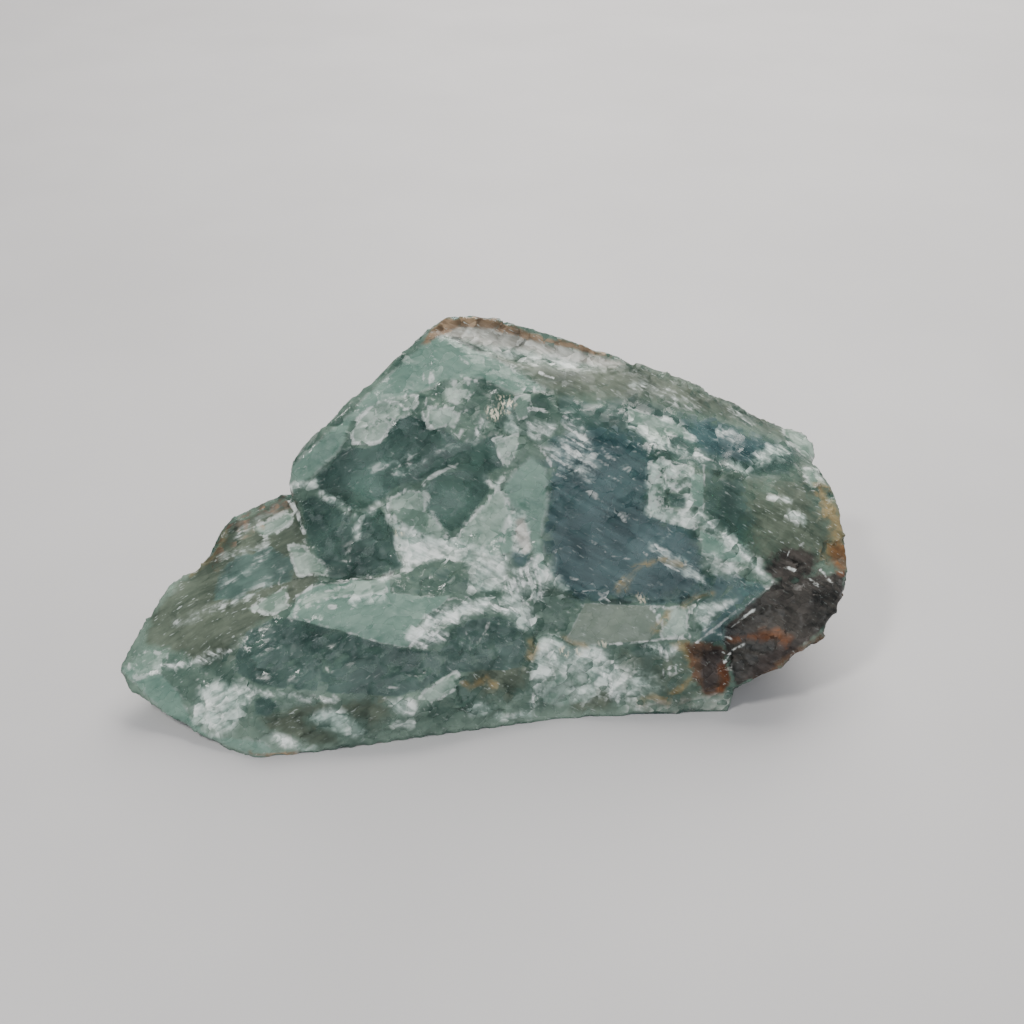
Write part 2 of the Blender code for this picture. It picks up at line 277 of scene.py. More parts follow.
CENTRE_MARKINGS = (
    Patch(Kind.CRUST, "514,520 524,518 531,548 524,555 517,540", 3.0, 0.8),
    Streak(Kind.CREVICE_SHADE, "508,533 515,533", 3.0, 6.0),
    Patch(Kind.DUSK,
        "552,440 600,425 640,438 652,458 648,512 668,522 690,530 700,556 704,586 660,600 600,600 575,600 "
        "552,575 546,530 552,480", 6.0, 2.6),
    Patch(Kind.DEEP, "560,396 620,408 640,436 652,458 620,462 596,440 560,420", 6.0, 2.0),
    Patch(Kind.MINT,
        "503,488 516,470 532,456 546,470 548,500 540,540 546,566 540,580 532,548 524,514 "
        "512,508", 5.0, 2.2),
    Patch(Kind.DEEP, "516,468 530,456 546,462 550,490 540,520 524,506 508,494", 4.0, 2.2),
    Patch(Kind.VEIL,
        "560,410 574,414 586,428 592,446 600,470 588,482 572,474 552,462 540,448 556,444 "
        "566,432", 6.0, 1.8),
    Streak(Kind.VEIN, "540,448 550,462 556,474 566,478", 2.6),
    Streak(Kind.VEIN, "558,456 572,462 588,478", 1.8),
    Streak(Kind.VEIN, "556,448 576,456 590,468", 1.6),
    Streak(Kind.VEIN, "566,440 584,444 590,440 580,430", 2.0),
    Streak(Kind.VEIN, "560,414 570,420 580,418", 2.4),
    Streak(Kind.VEIN, "590,452 600,460 608,466", 2.4, 1.0),
    Streak(Kind.VEIN, "600,448 616,460", 1.8, 1.0),
    Streak(Kind.VEIN, "606,464 626,470 634,478", 1.6, 0.8),
    Streak(Kind.VEIN, "560,483 584,483", 1.6, 0.8),
    Streak(Kind.VEIN, "588,490 596,496", 4.0, 0.6),
    Streak(Kind.VEIN, "610,500 616,512 626,522", 2.4, 1.2),
    Streak(Kind.VEIN, "554,552 562,548", 3.0, 0.8),
    Streak(Kind.MILK, "546,560 550,580 562,590", 7.0, 3.0, 2.0),
    Patch(Kind.PALE,
        "626,405 640,412 670,418 684,428 694,440 680,436 668,435 670,446 655,443 648,433 632,425"),
    Streak(Kind.MILK, "632,424 648,434 656,444 668,444", 6.0, 2.0),
    Streak(Kind.MILK, "664,420 680,428 692,440", 7.0, 2.0),
    Streak(Kind.VEIN, "650,446 648,456", 3.0, 1.2),
    Streak(Kind.MILK, "664,446 690,454 704,458", 4.0, 1.4, 1.5),
    Patch(Kind.PALE,
        "650,462 664,458 676,466 690,464 688,480 672,484 664,490 664,504 676,512 690,510 706,520 690,528 "
        "668,522 648,514", 0.6, 1.2),
    Streak(Kind.MILK, "654,468 652,490 652,508", 8.0, soft=1.3),
    Streak(Kind.MILK, "656,466 668,464 674,474", 7.0),
    Streak(Kind.MILK, "692,464 690,478 684,486 672,488 664,486", 5.0),
    Streak(Kind.MILK, "650,510 666,516 684,518 700,516", 11.0, soft=1.1),
    Streak(Kind.MILK, "688,484 690,508", 4.0, 3.0),
    Streak(Kind.MILK, "698,514 716,530 734,546 752,562 772,582", 9.0, soft=1.8),
    Streak(Kind.VEIN, "704,518 722,532 746,556 774,584", 2.2),
    Patch(Kind.DEEP, "667,492 676,494 687,496 686,507 672,506", 6.0),
    Patch(Kind.DEEP, "675,462 688,460 688,474 680,479", 6.0),
    Patch(Kind.MINT, "690,474 703,474 705,508 692,506", 10.0),
    Streak(Kind.VEIN, "704,466 705,486 704,510", 1.8),
    Streak(Kind.VEIN, "664,474 668,486 678,490 688,484", 2.6),
    Patch(Kind.DEEP, "667,524 684,526 697,530 700,550 684,548 672,538", 8.0),
    Patch(Kind.MINT, "700,530 716,536 748,563 722,560 702,554", 10.0, 1.2),
    Streak(Kind.VEIN, "696,536 692,532 698,526", 2.4),
    Patch(Kind.DUSK,
        "636,566 690,582 730,574 770,586 736,618 724,645 702,640 704,618 714,602 660,603 "
        "612,600", 0.6, 1.2),
    Patch(Kind.MILK, "716,556 740,566 730,574 704,566", 3.0, 2.4),
    Streak(Kind.VEIN, "700,552 716,556 744,570", 1.8, 1.0),
    Patch(Kind.VEIL,
        "637,538 652,541 668,536 660,546 682,556 704,576 706,586 690,580 668,570 652,552", soft=0.7),
    Streak(Kind.OCHRE, "664,560 684,566", 5.0, 1.0),
    Streak(Kind.OCHRE, "618,592 623,580 636,569 656,560", 5.0, 4.0),
    Patch(Kind.OCHRE, "616,592 622,580 632,576 628,588", 4.0, 1.5),
    Patch(Kind.CREVICE_SHADE, "598,602 612,597 624,600 640,602 624,605 608,605"),
    Streak(Kind.CREVICE_SHADE, "640,602 660,601 690,597", 2.2, 0.6),
    # painted highlight: a bright spot
    Streak(Kind.PAINTED_GLINT, "639,595 643,601", 4.5),
    Streak(Kind.VEIN, "600,600 606,590 612,602", 2.0),
    Streak(Kind.VEIN, "596,592 610,602", 1.8),
    Streak(Kind.VEIN, "544,588 570,593 600,590", 1.6, 0.6),
)

LEDGE_MARKINGS = (
    Patch(Kind.LEDGE,
        "566,640 576,622 585,603 620,605 652,606 660,624 650,641 610,644 576,645", soft=0.7),
    Streak(Kind.OCHRE, "564,637 572,644 586,645", 4.0, 3.0),
    Streak(Kind.VEIN, "600,645 630,643 660,640 688,638", 2.6, 2.0),
    Streak(Kind.VEIN, "651,608 658,618 664,606", 1.8),
    Streak(Kind.VEIN, "688,606 692,622 690,640", 2.0, 1.0),
    Patch(Kind.PALE, "655,608 686,608 688,636 664,638 660,620", 4.0, 1.8),
    Patch(Kind.MILK, "690,605 712,603 736,600 716,614 704,630 698,622", soft=0.9),
    Streak(Kind.OCHRE, "656,630 664,622 668,612", 5.0, 1.5),
    Streak(Kind.OCHRE, "684,606 696,598 712,594", 5.0, 3.0),
    # these milky patches and splinters on the front wall also paint the light shining through it: a painted
    # glow
    Patch(Kind.MILK,
        "540,640 552,634 566,644 600,648 612,656 600,664 586,664 578,672 560,668 548,676 "
        "536,690 532,676", soft=1.3),
    Patch(Kind.MINT, "560,672 590,668 604,680 590,700 560,704 540,700", 0.0, 2.0),
    Streak(Kind.MILK, "548,656 584,664 612,676 640,690", 22.0, 3.0, 4.0),
    Streak(Kind.MILK, "584,690 610,686 632,696", 10.0, 2.0, 3.0),
    Streak(Kind.FROST, "602,662 608,680 618,700", 11.0),
    Streak(Kind.FROST, "556,656 546,680 534,704", 10.0, soft=1.4),
    Streak(Kind.FROST, "646,648 668,654 676,650", 9.0, soft=1.4),
    Streak(Kind.VEIN, "664,670 665,678", 2.2),
    Streak(Kind.VEIN, "670,668 671,676", 2.2),
    Streak(Kind.VEIN, "676,666 677,674", 2.0),
    Streak(Kind.VEIN, "612,662 616,668", 3.6),
    # painted highlights: sparkles on the front wall
    Streak(Kind.PAINTED_GLINT, "563,650 565,654", 6.0),
    Streak(Kind.PAINTED_GLINT, "577,650 580,653", 4.0),
    Streak(Kind.PAINTED_GLINT, "601,643 606,645", 3.5),
    Patch(Kind.OLIVE, "622,650 646,660 690,652 700,690 690,706 630,706 618,680", 0.6, 1.6),
    Patch(Kind.OLIVE, "572,694 612,682 614,708 574,712", 5.0, 1.6),
    Patch(Kind.DEEP, "590,668 604,672 606,684 596,680", 4.0, 1.4),
    Streak(Kind.OCHRE, "642,702 652,696 668,703", 5.0, 1.5),
    Streak(Kind.OCHRE, "672,694 684,688 690,680", 5.0, 1.5),
    Patch(Kind.CRUST, "640,706 690,700 728,694 728,713 650,713", -0.6, 1.5),
    Patch(Kind.OCHRE, "672,644 690,642 698,660 692,668 682,652", 5.0, 1.2),
    Patch(Kind.RUST, "686,644 700,642 724,645 726,664 732,680 722,697 704,696 694,680 690,660"),
    Patch(Kind.BROWN, "704,650 722,648 722,668 716,690 704,690 700,668", 6.0, 1.2),
    Streak(Kind.EMBER, "722,668 727,678 722,690", 9.0),
)

APRON_MARKINGS = (
    Patch(Kind.MINT,
        "288,617 296,598 310,588 338,582 371,577 390,580 390,593 430,596 450,596 440,606 425,616 415,628 "
        "408,648 374,641 344,632 310,623", soft=0.7),
    Patch(Kind.PALE,
        "292,612 300,600 318,592 350,586 352,578 386,578 386,592 360,596 330,598 306,606", 5.0, 1.6),
    # this milky streak and the short vein under it paint the highlights on the mint shelf
    Streak(Kind.MILK, "354,600 366,598 380,597", 6.0, 3.0, 1.4),
    Streak(Kind.VEIN, "330,607 336,607", 4.0),
    Streak(Kind.VEIN, "296,596 312,588 330,583 356,579", 2.6, 1.2),
    Streak(Kind.MILK, "384,577 396,572 408,568", 5.0, 3.0, 1.2),
    Streak(Kind.VEIN, "292,616 330,627 372,640 402,648", 1.4, 0.6),
    Patch(Kind.DEEP,
        "386,577 398,570 416,565 432,566 446,568 453,562 464,562 470,573 468,588 455,590 445,595 430,592 "
        "388,593", -0.8, 0.9),
    Patch(Kind.VEIL,
        "404,642 412,628 428,612 450,602 480,598 500,598 530,600 534,612 520,618 500,612 470,617 452,628 "
        "444,648 436,642 426,650 414,646", soft=0.8),
    Streak(Kind.MILK, "412,636 430,622 456,612 484,602 514,600", 8.0, soft=1.2),
    Streak(Kind.VEIN, "410,648 416,638 424,630", 2.6),
    Streak(Kind.VEIN, "424,650 430,640 438,632", 2.2),
    Streak(Kind.VEIN, "448,600 456,598 464,602", 3.0, 1.2),
    Patch(Kind.DEEP,
        "235,655 247,632 268,621 289,617 344,632 376,642 412,651 440,652 452,630 470,621 500,616 520,624 "
        "532,652 520,668 496,670 452,672 420,690 396,696 330,692 262,686 236,672", 0.9, 0.8),
    Patch(Kind.OLIVE, "180,642 204,622 262,618 240,640 232,656 206,664 186,660", 8.0, 1.6),
    Streak(Kind.VEIN, "466,632 472,642 470,650", 2.6, 1.0),
    Streak(Kind.VEIN, "488,622 484,634", 2.6, 1.0),
    Streak(Kind.VEIN, "424,662 426,654", 2.4, 1.0),
    Patch(Kind.MILK, "514,604 532,608 536,630 528,636 516,624 506,614", 6.0, 1.6),
    Streak(Kind.OCHRE, "530,640 533,648 530,658", 9.0, 3.0),
    Streak(Kind.OCHRE, "462,682 472,688 486,678 494,684", 4.4, 2.0),
    Patch(Kind.PALE, "420,698 436,684 456,672 462,682 446,694 430,704", 8.0, 1.4),
    Patch(Kind.OLIVE, "476,660 520,660 532,672 512,700 484,696 470,680", 6.0, 2.0),
    Patch(Kind.MILK,
        "192,712 200,692 212,684 240,684 256,693 250,702 242,714 230,731 206,732 194,724", soft=1.8),
    Streak(Kind.VEIL, "158,666 180,665 204,658 230,652", 9.0, 4.0, 1.2),
    Streak(Kind.VEIN, "162,664 172,666 182,663", 4.0, 1.2),
    Streak(Kind.VEIL, "248,690 290,696 336,701", 7.0, 4.0, 1.2),
    Patch(Kind.DEEP, "254,700 268,696 278,706 268,716 256,714", 8.0, 1.6),
    Patch(Kind.OLIVE,
        "262,716 300,706 326,700 340,704 318,712 306,722 330,732 340,742 310,748 292,738 "
        "270,730", 8.0, 1.4),
    Patch(Kind.MILK, "308,719 330,706 346,715 366,732 356,738 340,731 322,726", 10.0, 1.2),
    Streak(Kind.MILK, "274,738 284,741 296,746", 8.0, 4.0, 1.2),
    Streak(Kind.MILK, "296,754 314,748", 4.0, 2.0),
    Patch(Kind.MILK, "388,702 410,700 420,712 406,716 396,710", 8.0, 1.3),
    Streak(Kind.VEIN, "386,687 398,688", 3.4, 1.5),
    Streak(Kind.MILK, "394,724 412,726", 5.0, 3.0),
    Patch(Kind.MILK, "470,706 482,702 490,710 482,716 472,714", 6.0, 1.2),
    Streak(Kind.MILK, "500,718 528,714", 5.0, 2.0, 1.4),
    Patch(Kind.OLIVE, "336,704 386,694 392,716 372,728 350,716", 5.0, 2.0),
    Streak(Kind.BARK, "250,754 280,757 300,754", 5.0, 1.5),
    Patch(Kind.MINT,
        "118,668 142,690 166,714 200,736 236,750 256,758 278,756 264,742 236,738 206,736 190,716 176,690 "
        "158,672 140,662", 8.0, 1.6),
    Patch(Kind.PALE, "128,662 150,650 166,656 160,672 136,678", 3.0, 2.0),
)

ARM_MARKINGS = (
    Patch(Kind.OLIVE, "286,496 248,512 218,544 206,562 220,590 262,560 296,520", 3.0, 3.0),
    Patch(Kind.BARK, "284,497 248,511 222,532 206,560 216,566 240,534 288,508", -2.0, 2.5),
    Streak(Kind.BROWN, "286,500 248,514 222,536 207,561", 6.0, -0.6, 2.5),
    Patch(Kind.CALM, "286,496 248,512 206,560 150,615 122,668 180,654 235,640 290,592 306,566"),
    Patch(Kind.OLIVE,
        "286,496 248,512 224,529 206,560 184,578 150,615 144,645 180,652 235,640 280,612 322,580 306,540 "
        "298,512"),
    Patch(Kind.DEEP, "236,556 270,548 296,560 290,580 262,586 236,600 214,600 220,578", 4.0, 2.0),
    Patch(Kind.PALE, "256,528 272,519 289,512 294,520 281,530 264,537", 5.0, 1.8),
    Streak(Kind.PLUME, "236,536 252,522 280,508", 8.0, soft=1.2),
    Streak(Kind.PLUME, "222,556 245,552 266,546", 7.0, soft=1.2),
    Patch(Kind.PALE, "288,546 302,543 313,554 329,570 323,577 298,575 294,564", 5.0, 1.6),
    Patch(Kind.PALE, "250,608 268,594 287,587 287,598 285,609 272,614", 4.0, 1.6),
    Streak(Kind.PLUME, "222,586 248,570 268,554", 6.0, soft=1.4),
    Streak(Kind.PLUME, "176,624 206,611 226,603", 7.0, soft=1.4),
    Streak(Kind.PLUME, "232,604 258,588 284,568", 8.0, soft=1.4),
    Streak(Kind.OCHRE, "226,532 216,550 208,560 190,573", 5.0, 3.0),
    Streak(Kind.VEIN, "284,572 278,582 284,592", 1.6, 0.6),
    Streak(Kind.CREVICE_SHADE, "294,580 308,577", 3.0, 2.0),
)

SLOPE_MARKINGS = (
    Patch(Kind.DEEP,
        "600,404 640,402 700,418 760,436 796,450 788,474 720,472 692,462 650,457 620,430", 2.5, 4.0),
    Streak(Kind.VEIN, "596,452 618,462 640,474", 1.8, 0.8),
    Streak(Kind.VEIN, "612,446 636,452", 1.4, 0.6),
    Streak(Kind.VEIN, "604,474 622,482", 1.6, 0.6),
    Streak(Kind.VEIN, "634,486 650,500", 1.8, 0.8),
    Streak(Kind.VEIN, "586,492 606,504", 1.4, 0.6),
    Streak(Kind.VEIN, "620,512 640,522", 1.6, 0.6),
    Streak(Kind.VEIN, "590,540 606,552", 1.6, 0.7),
    Streak(Kind.VEIN, "612,556 634,560", 1.2, 0.6),
    Streak(Kind.VEIN, "570,578 598,586", 1.6, 0.7),
    Streak(Kind.VEIN, "640,548 652,560", 1.4, 0.6),
    Patch(Kind.DEEP, "580,420 640,424 690,456 656,470 640,510 600,490 570,450", 1.0, 6.0),
    Patch(Kind.DEEP, "556,470 584,500 590,560 566,570 552,520", 0.6, 5.0),
    Streak(Kind.MILK, "722,536 748,560 770,580", 3.0, 5.0, 1.5),
    Patch(Kind.CALM,
        "500,358 560,366 640,372 700,394 760,418 812,438 818,470 780,472 740,466 706,462 660,420 600,400 "
        "545,392"),
    Patch(Kind.CALM, "706,474 812,474 846,540 800,548 760,560 706,516"),
    Patch(Kind.DUSK,
        "684,424 712,420 756,438 776,446 760,452 750,462 724,460 708,452 690,440", 10.0, 1.8),
    Streak(Kind.MILK, "718,431 731,435", 6.0, 3.0, 1.4),
    Streak(Kind.MILK, "760,458 770,452 781,451", 11.0, soft=2.0),
    Streak(Kind.MILK, "730,463 745,471", 8.0, 5.0, 1.2),
    Streak(Kind.VEIN, "704,458 724,466", 2.0, 0.8),
    Patch(Kind.OLIVE,
        "706,474 760,478 812,470 840,510 850,560 820,575 780,588 740,552 712,516", 7.0, 6.0),
    Patch(Kind.DEEP, "706,476 740,482 752,520 744,548 724,530 706,512", 1.0, 5.0),
    Patch(Kind.PALE, "780,424 802,432 818,444 818,460 800,452 786,438", 10.0, 1.6),
    Patch(Kind.PALE, "802,470 816,468 822,482 812,488", 6.0, 1.8),
    Streak(Kind.MILK, "770,497 790,501", 3.0, 2.0, 1.2),
    Streak(Kind.MILK, "790,513 804,522", 6.0, 3.0, 1.5),
    Streak(Kind.VEIN, "800,533 808,544", 2.4, 1.0),
    Patch(Kind.OCHRE, "818,484 836,504 848,532 851,556 838,562 824,556 832,530 822,508", 6.0, 1.8),
    Patch(Kind.EMBER, "834,544 851,544 851,566 842,572 830,560", 5.0, 1.6),
    Streak(Kind.OCHRE, "817,484 825,492", 6.0, 3.0),
    Patch(Kind.BROWN,
        "724,626 773,583 800,577 846,572 848,600 838,616 822,632 804,645 760,676 736,690 728,668 724,645"),
    Patch(Kind.BROWN, "764,568 786,546 814,552 820,575 780,592", 6.0, 1.8),
    Patch(Kind.RUST,
        "748,676 762,656 784,645 806,642 822,633 842,612 844,622 812,648 790,664 757,682", 4.0, 1.5),
    Streak(Kind.OLIVE, "756,672 774,656 796,650", 7.0, 2.0, 2.0),
    Streak(Kind.MILK, "748,674 764,656 786,646 806,641", 3.0, 1.6),
    Streak(Kind.MILK, "786,650 800,652 806,644", 3.0, 2.0),
    Streak(Kind.MILK, "826,622 840,608 846,592", 4.0, 1.5, 1.4),
    Streak(Kind.EMBER, "764,636 776,634 786,640", 9.0, soft=1.4),
    Streak(Kind.EMBER, "730,640 748,636 764,636", 4.0, 1.0),
    # painted glow: the golden light that shines through the thin rusty edge
    Streak(Kind.OCHRE, "768,668 782,662", 6.0, 2.0),
    Streak(Kind.VEIN, "697,643 730,616 769,588", 2.0),
    Streak(Kind.VEIN, "729,630 747,614 755,609", 1.8),
    Streak(Kind.VEIN, "712,632 732,639", 1.8, 1.0),
    Streak(Kind.VEIN, "788,568 806,576 820,586", 2.4, 0.9),
    Streak(Kind.VEIN, "821,570 828,578 835,588", 2.4, 0.9),
    Streak(Kind.VEIN, "786,560 790,548 804,544", 1.8, 0.6),
    Streak(Kind.VEIN, "724,662 732,650 744,644", 1.8, 0.8),
)


@dataclass(frozen=True)
class Spread:
    """How a kind of marking is spread over the sides that the camera doesn't see.

    Args:
        size: The size of its patches, in metres.
        level: The noise level above which it shows.
        gain: Picture points of depth for each unit of noise above the level.
        lean: How much more of it there is towards the high end.
    """

    size: float
    level: float
    gain: float = 40.0
    lean: float = 0.0


SPREADS = {
    Kind.DEEP: Spread(9 * MM, 0.1, 18.0),
    Kind.DUSK: Spread(10 * MM, 0.26, 18.0),
    Kind.OLIVE: Spread(13 * MM, 0.06, 16.0, 0.15),
    Kind.MINT: Spread(7 * MM, 0.3, 20.0),
    Kind.LEDGE: Spread(9 * MM, 0.36, 20.0),
    Kind.PALE: Spread(5 * MM, 0.42, 20.0),
    Kind.MILK: Spread(4 * MM, 0.5, 20.0),
    Kind.VEIL: Spread(5 * MM, 0.42, 20.0),
    Kind.PLUME: Spread(5 * MM, 0.44, 20.0),
    Kind.FROST: Spread(4 * MM, 0.46, 20.0),
    Kind.VEIN: Spread(3 * MM, 0.5, 8.0),
    Kind.PAINTED_GLINT: Spread(6 * MM, 2.0),
    Kind.OCHRE: Spread(8 * MM, 0.52, 20.0, 0.15),
    Kind.EMBER: Spread(8 * MM, 0.64, 24.0, 0.2),
    Kind.RUST: Spread(11 * MM, 0.6, 20.0, 0.35),
    Kind.BROWN: Spread(14 * MM, 0.58, 20.0, 0.45),
    Kind.CRUST: Spread(10 * MM, 0.52, 20.0),
    Kind.BARK: Spread(12 * MM, 0.52, 20.0, 0.1),
    Kind.CREVICE_SHADE: Spread(3 * MM, 0.9),
    Kind.CALM: Spread(12 * MM, 0.1),
}


@dataclass(frozen=True)
class PhotoCamera:
    """The camera that looks along +Y and down at the stone.

    Args:
        target: The point at the middle of the picture.
        distance: How far the camera is from it.
        elevation: Its angle above the surface, in radians.
        focal: The focal length, in picture points.
    """

    target: Vector = field(default_factory=lambda: Vector((2.36, 3.26, 11.06)) * MM)
    distance: float = 121.66 * MM
    elevation: float = math.radians(36)
    focal: float = 1138.0

    @property
    def back(self) -> Vector:
        """The direction from the target to the camera."""
        return Vector((0, -math.cos(self.elevation), math.sin(self.elevation)))

    @property
    def up(self) -> Vector:
        """The direction of the picture's upper edge."""
        return Vector((0, math.sin(self.elevation), math.cos(self.elevation)))

    @property
    def eye(self) -> Vector:
        """Where the camera is."""
        return self.target + self.back * self.distance

    def picture_points(self, places: np.ndarray) -> np.ndarray:
        """Where places on the stone come in the picture.

        Args:
            places: Places in metres, one row each.

        Returns:
            Picture points, one row each.
        """
        away = places - np.array(self.eye)
        depth = -(away @ np.array(self.back))
        across = away[:, 0] / depth
        upward = (away @ np.array(self.up)) / depth
        middle = PICTURE / 2
        return np.stack([middle + self.focal * across, middle - self.focal * upward], axis=1)

    def stand(self) -> None:
        """Puts the camera in the scene."""
        data = bpy.data.cameras.new("camera")
        data.sensor_width = 36.0
        data.lens = data.sensor_width * self.focal / PICTURE
        data.clip_start = 5 * MM
        camera = bpy.data.objects.new("camera", data)
        axes = Matrix((self.up.cross(self.back), self.up, self.back)).transposed()
        camera.matrix_world = Matrix.Translation(self.eye) @ axes.to_4x4()
        bpy.context.scene.collection.objects.link(camera)
        bpy.context.scene.camera = camera


class NodeBench:
    """Builds the nodes of one material with few words."""

    def __init__(self, name: str) -> None:
        """Starts an empty material.

        Args:
            name: The material's name.
        """
        self.material = bpy.data.materials.new(name)
        self.material.use_nodes = True
        self.tree = self.material.node_tree
        self.tree.nodes.clear()
        self.output = self.tree.nodes.new("ShaderNodeOutputMaterial")
        self.place = self.tree.nodes.new("ShaderNodeTexCoord").outputs["Object"]
        self.bent = self.bend(size=1.6 * MM, reach=0.16 * MM)

    def set(self, socket: bpy.types.NodeSocket, value: object) -> None:
        """Links a socket to another, or sets its value."""
        if isinstance(value, bpy.types.NodeSocket):
            self.tree.links.new(value, socket)
        else:
            socket.default_value = value

    def math(self, operation: str, first: object, second: object = 0.0) -> bpy.types.NodeSocket:
        """One sum on numbers.

        Args:
            operation: Blender's name for the sum.
            first: A number or a socket.
            second: A number or a socket.

        Returns:
            The result's socket.
        """
        node = self.tree.nodes.new("ShaderNodeMath")
        node.operation = operation
        self.set(node.inputs[0], first)
        self.set(node.inputs[1], second)
        return node.outputs[0]

    def attribute_named(self, name: str) -> bpy.types.NodeSocket:
        """A field of the mesh, by its name."""
        node = self.tree.nodes.new("ShaderNodeAttribute")
        node.attribute_name = name
        return node.outputs["Fac"]

    def attribute(self, kind: Kind) -> bpy.types.NodeSocket:
        """The field of one kind of marking."""
        return self.attribute_named(kind.value)

    def noise(self, spot: bpy.types.NodeSocket, detail: float = 3.0,
              rough: float = 0.6) -> bpy.types.NodeSocket:
        """Noise in the stone.

        Args:
            spot: The place on the scale of its largest lumps.
            detail: How many finer layers it has.
            rough: How strong the finer layers are.

        Returns:
            The socket of the noise, from 0 to 1.
        """
        node = self.tree.nodes.new("ShaderNodeTexNoise")
        self.set(node.inputs["Vector"], spot)
        node.inputs["Scale"].default_value = 1.0
        node.inputs["Detail"].default_value = detail
        node.inputs["Roughness"].default_value = rough
        return node.outputs[0]

    def shards(self, spot: bpy.types.NodeSocket) -> tuple[bpy.types.NodeSocket, bpy.types.NodeSocket]:
        """Sharp-edged shards of broken crystal.

        Args:
            spot: The place on the scale of a shard.

        Returns:
            A number for each shard, from 0 to 1, and the rise of its leaning face, about 0.
        """
        cell = self.tree.nodes.new("ShaderNodeTexVoronoi")
        cell.inputs["Scale"].default_value = 1.0
        self.set(cell.inputs["Vector"], spot)
        away = self.vector("SUBTRACT", spot, cell.outputs["Position"])
        lean = self.vector("SUBTRACT", cell.outputs["Color"], (0.5, 0.5, 0.5))
        rise = self.tree.nodes.new("ShaderNodeVectorMath")
        rise.operation = "DOT_PRODUCT"
        self.set(rise.inputs[0], away)
        self.set(rise.inputs[1], lean)
        return self.part_of(cell.outputs["Color"], "X"), rise.outputs["Value"]

    def choose(self, share: bpy.types.NodeSocket, first: bpy.types.NodeSocket,
               second: bpy.types.NodeSocket) -> bpy.types.NodeSocket:
        """One of two places: the first where the share is 0, the second where it is 1."""
        node = self.tree.nodes.new("ShaderNodeMix")
        node.data_type = "VECTOR"
        self.set(node.inputs["Factor"], share)
        self.set(node.inputs[4], first)
        self.set(node.inputs[5], second)
        return node.outputs[1]

    def mapped(self, place: bpy.types.NodeSocket, size: float,
               along: tuple[float, float, float] = (1, 0, 0), draw: float = 1.0) -> bpy.types.NodeSocket:
        """Turns and scales a place for a pattern.

        Args:
            place: The place to read.
            size: The size of the pattern, in metres.
            along: The direction that the pattern is drawn out in.
            draw: How many times longer than wide it is.

        Returns:
            The socket of the place on the pattern's own scale.
        """
        spot = self.tree.nodes.new("ShaderNodeMapping")
        spot.vector_type = "TEXTURE"
        self.set(spot.inputs["Vector"], place)
        spot.inputs["Rotation"].default_value = Vector(along).to_track_quat("X", "Z").to_euler()
        spot.inputs["Scale"].default_value = (size * draw, size, size)
        return spot.outputs[0]

    def bend(self, size: float, reach: float) -> bpy.types.NodeSocket:
        """Bends the places that patterns read.

        Args:
            size: The size of the bends, in metres.
            reach: How far they move a place, in metres.

        Returns:
            The socket of the bent place.
        """
        drift = self.tree.nodes.new("ShaderNodeTexNoise")
        self.set(drift.inputs["Vector"], self.mapped(self.place, size))
        drift.inputs["Scale"].default_value = 1.0
        drift.inputs["Detail"].default_value = 1.0
        moved = self.vector("SUBTRACT", drift.outputs["Color"], (0.5, 0.5, 0.5))
        moved = self.vector("MULTIPLY", moved, (4 * reach, 4 * reach, 4 * reach))
        return self.vector("ADD", self.place, moved)

    def part_of(self, socket: bpy.types.NodeSocket, axis: str) -> bpy.types.NodeSocket:
        """One of the three numbers of a vector."""
        split = self.tree.nodes.new("ShaderNodeSeparateXYZ")
        self.set(split.inputs[0], socket)
        return split.outputs[axis]

    def vector(self, operation: str, first: object, second: object) -> bpy.types.NodeSocket:
        """One sum on vectors."""
        node = self.tree.nodes.new("ShaderNodeVectorMath")
        node.operation = operation
        self.set(node.inputs[0], first)
        self.set(node.inputs[1], second)
        return node.outputs[0]

    def between(self, value: object, low: float, high: float, bottom: float = 0.0, top: float = 1.0,
                smooth: bool = True) -> bpy.types.NodeSocket:
        """Takes a value from one range to another.

        Args:
            value: The socket to read.
            low: Where the range starts.
            high: Where it ends.
            bottom: The result at its start.
            top: The result at its end.
            smooth: Whether it eases in and out.

        Returns:
            The result's socket.
        """
        node = self.tree.nodes.new("ShaderNodeMapRange")
        node.interpolation_type = "SMOOTHSTEP" if smooth else "LINEAR"
        self.set(node.inputs["Value"], value)
        node.inputs["From Min"].default_value = low
        node.inputs["From Max"].default_value = high
        node.inputs["To Min"].default_value = bottom
        node.inputs["To Max"].default_value = top
        return node.outputs["Result"]

    def mix(self, share: object, under: object, over: object) -> bpy.types.NodeSocket:
        """Lays one colour over another.

        Args:
            share: How much of the upper colour shows.
            under: A colour or a socket.
            over: A colour or a socket.

        Returns:
            The mixed colour's socket.
        """
        node = self.tree.nodes.new("ShaderNodeMix")
        node.data_type = "RGBA"
        self.set(node.inputs["Factor"], share)
        self.set(node.inputs[6], under)
        self.set(node.inputs[7], over)
        return node.outputs[2]


def tone(red: float, green: float, blue: float) -> tuple[float, float, float, float]:
    """A colour from its display values.

    Args:
        red: From 0 to 255.
        green: From 0 to 255.
        blue: From 0 to 255.

    Returns:
        The colour as the shader takes it.
    """
    linear = [(value / 255 / 12.92) if value <= 10 else ((value / 255 + 0.055) / 1.055) ** 2.4
              for value in (red, green, blue)]
    return (linear[0], linear[1], linear[2], 1.0)


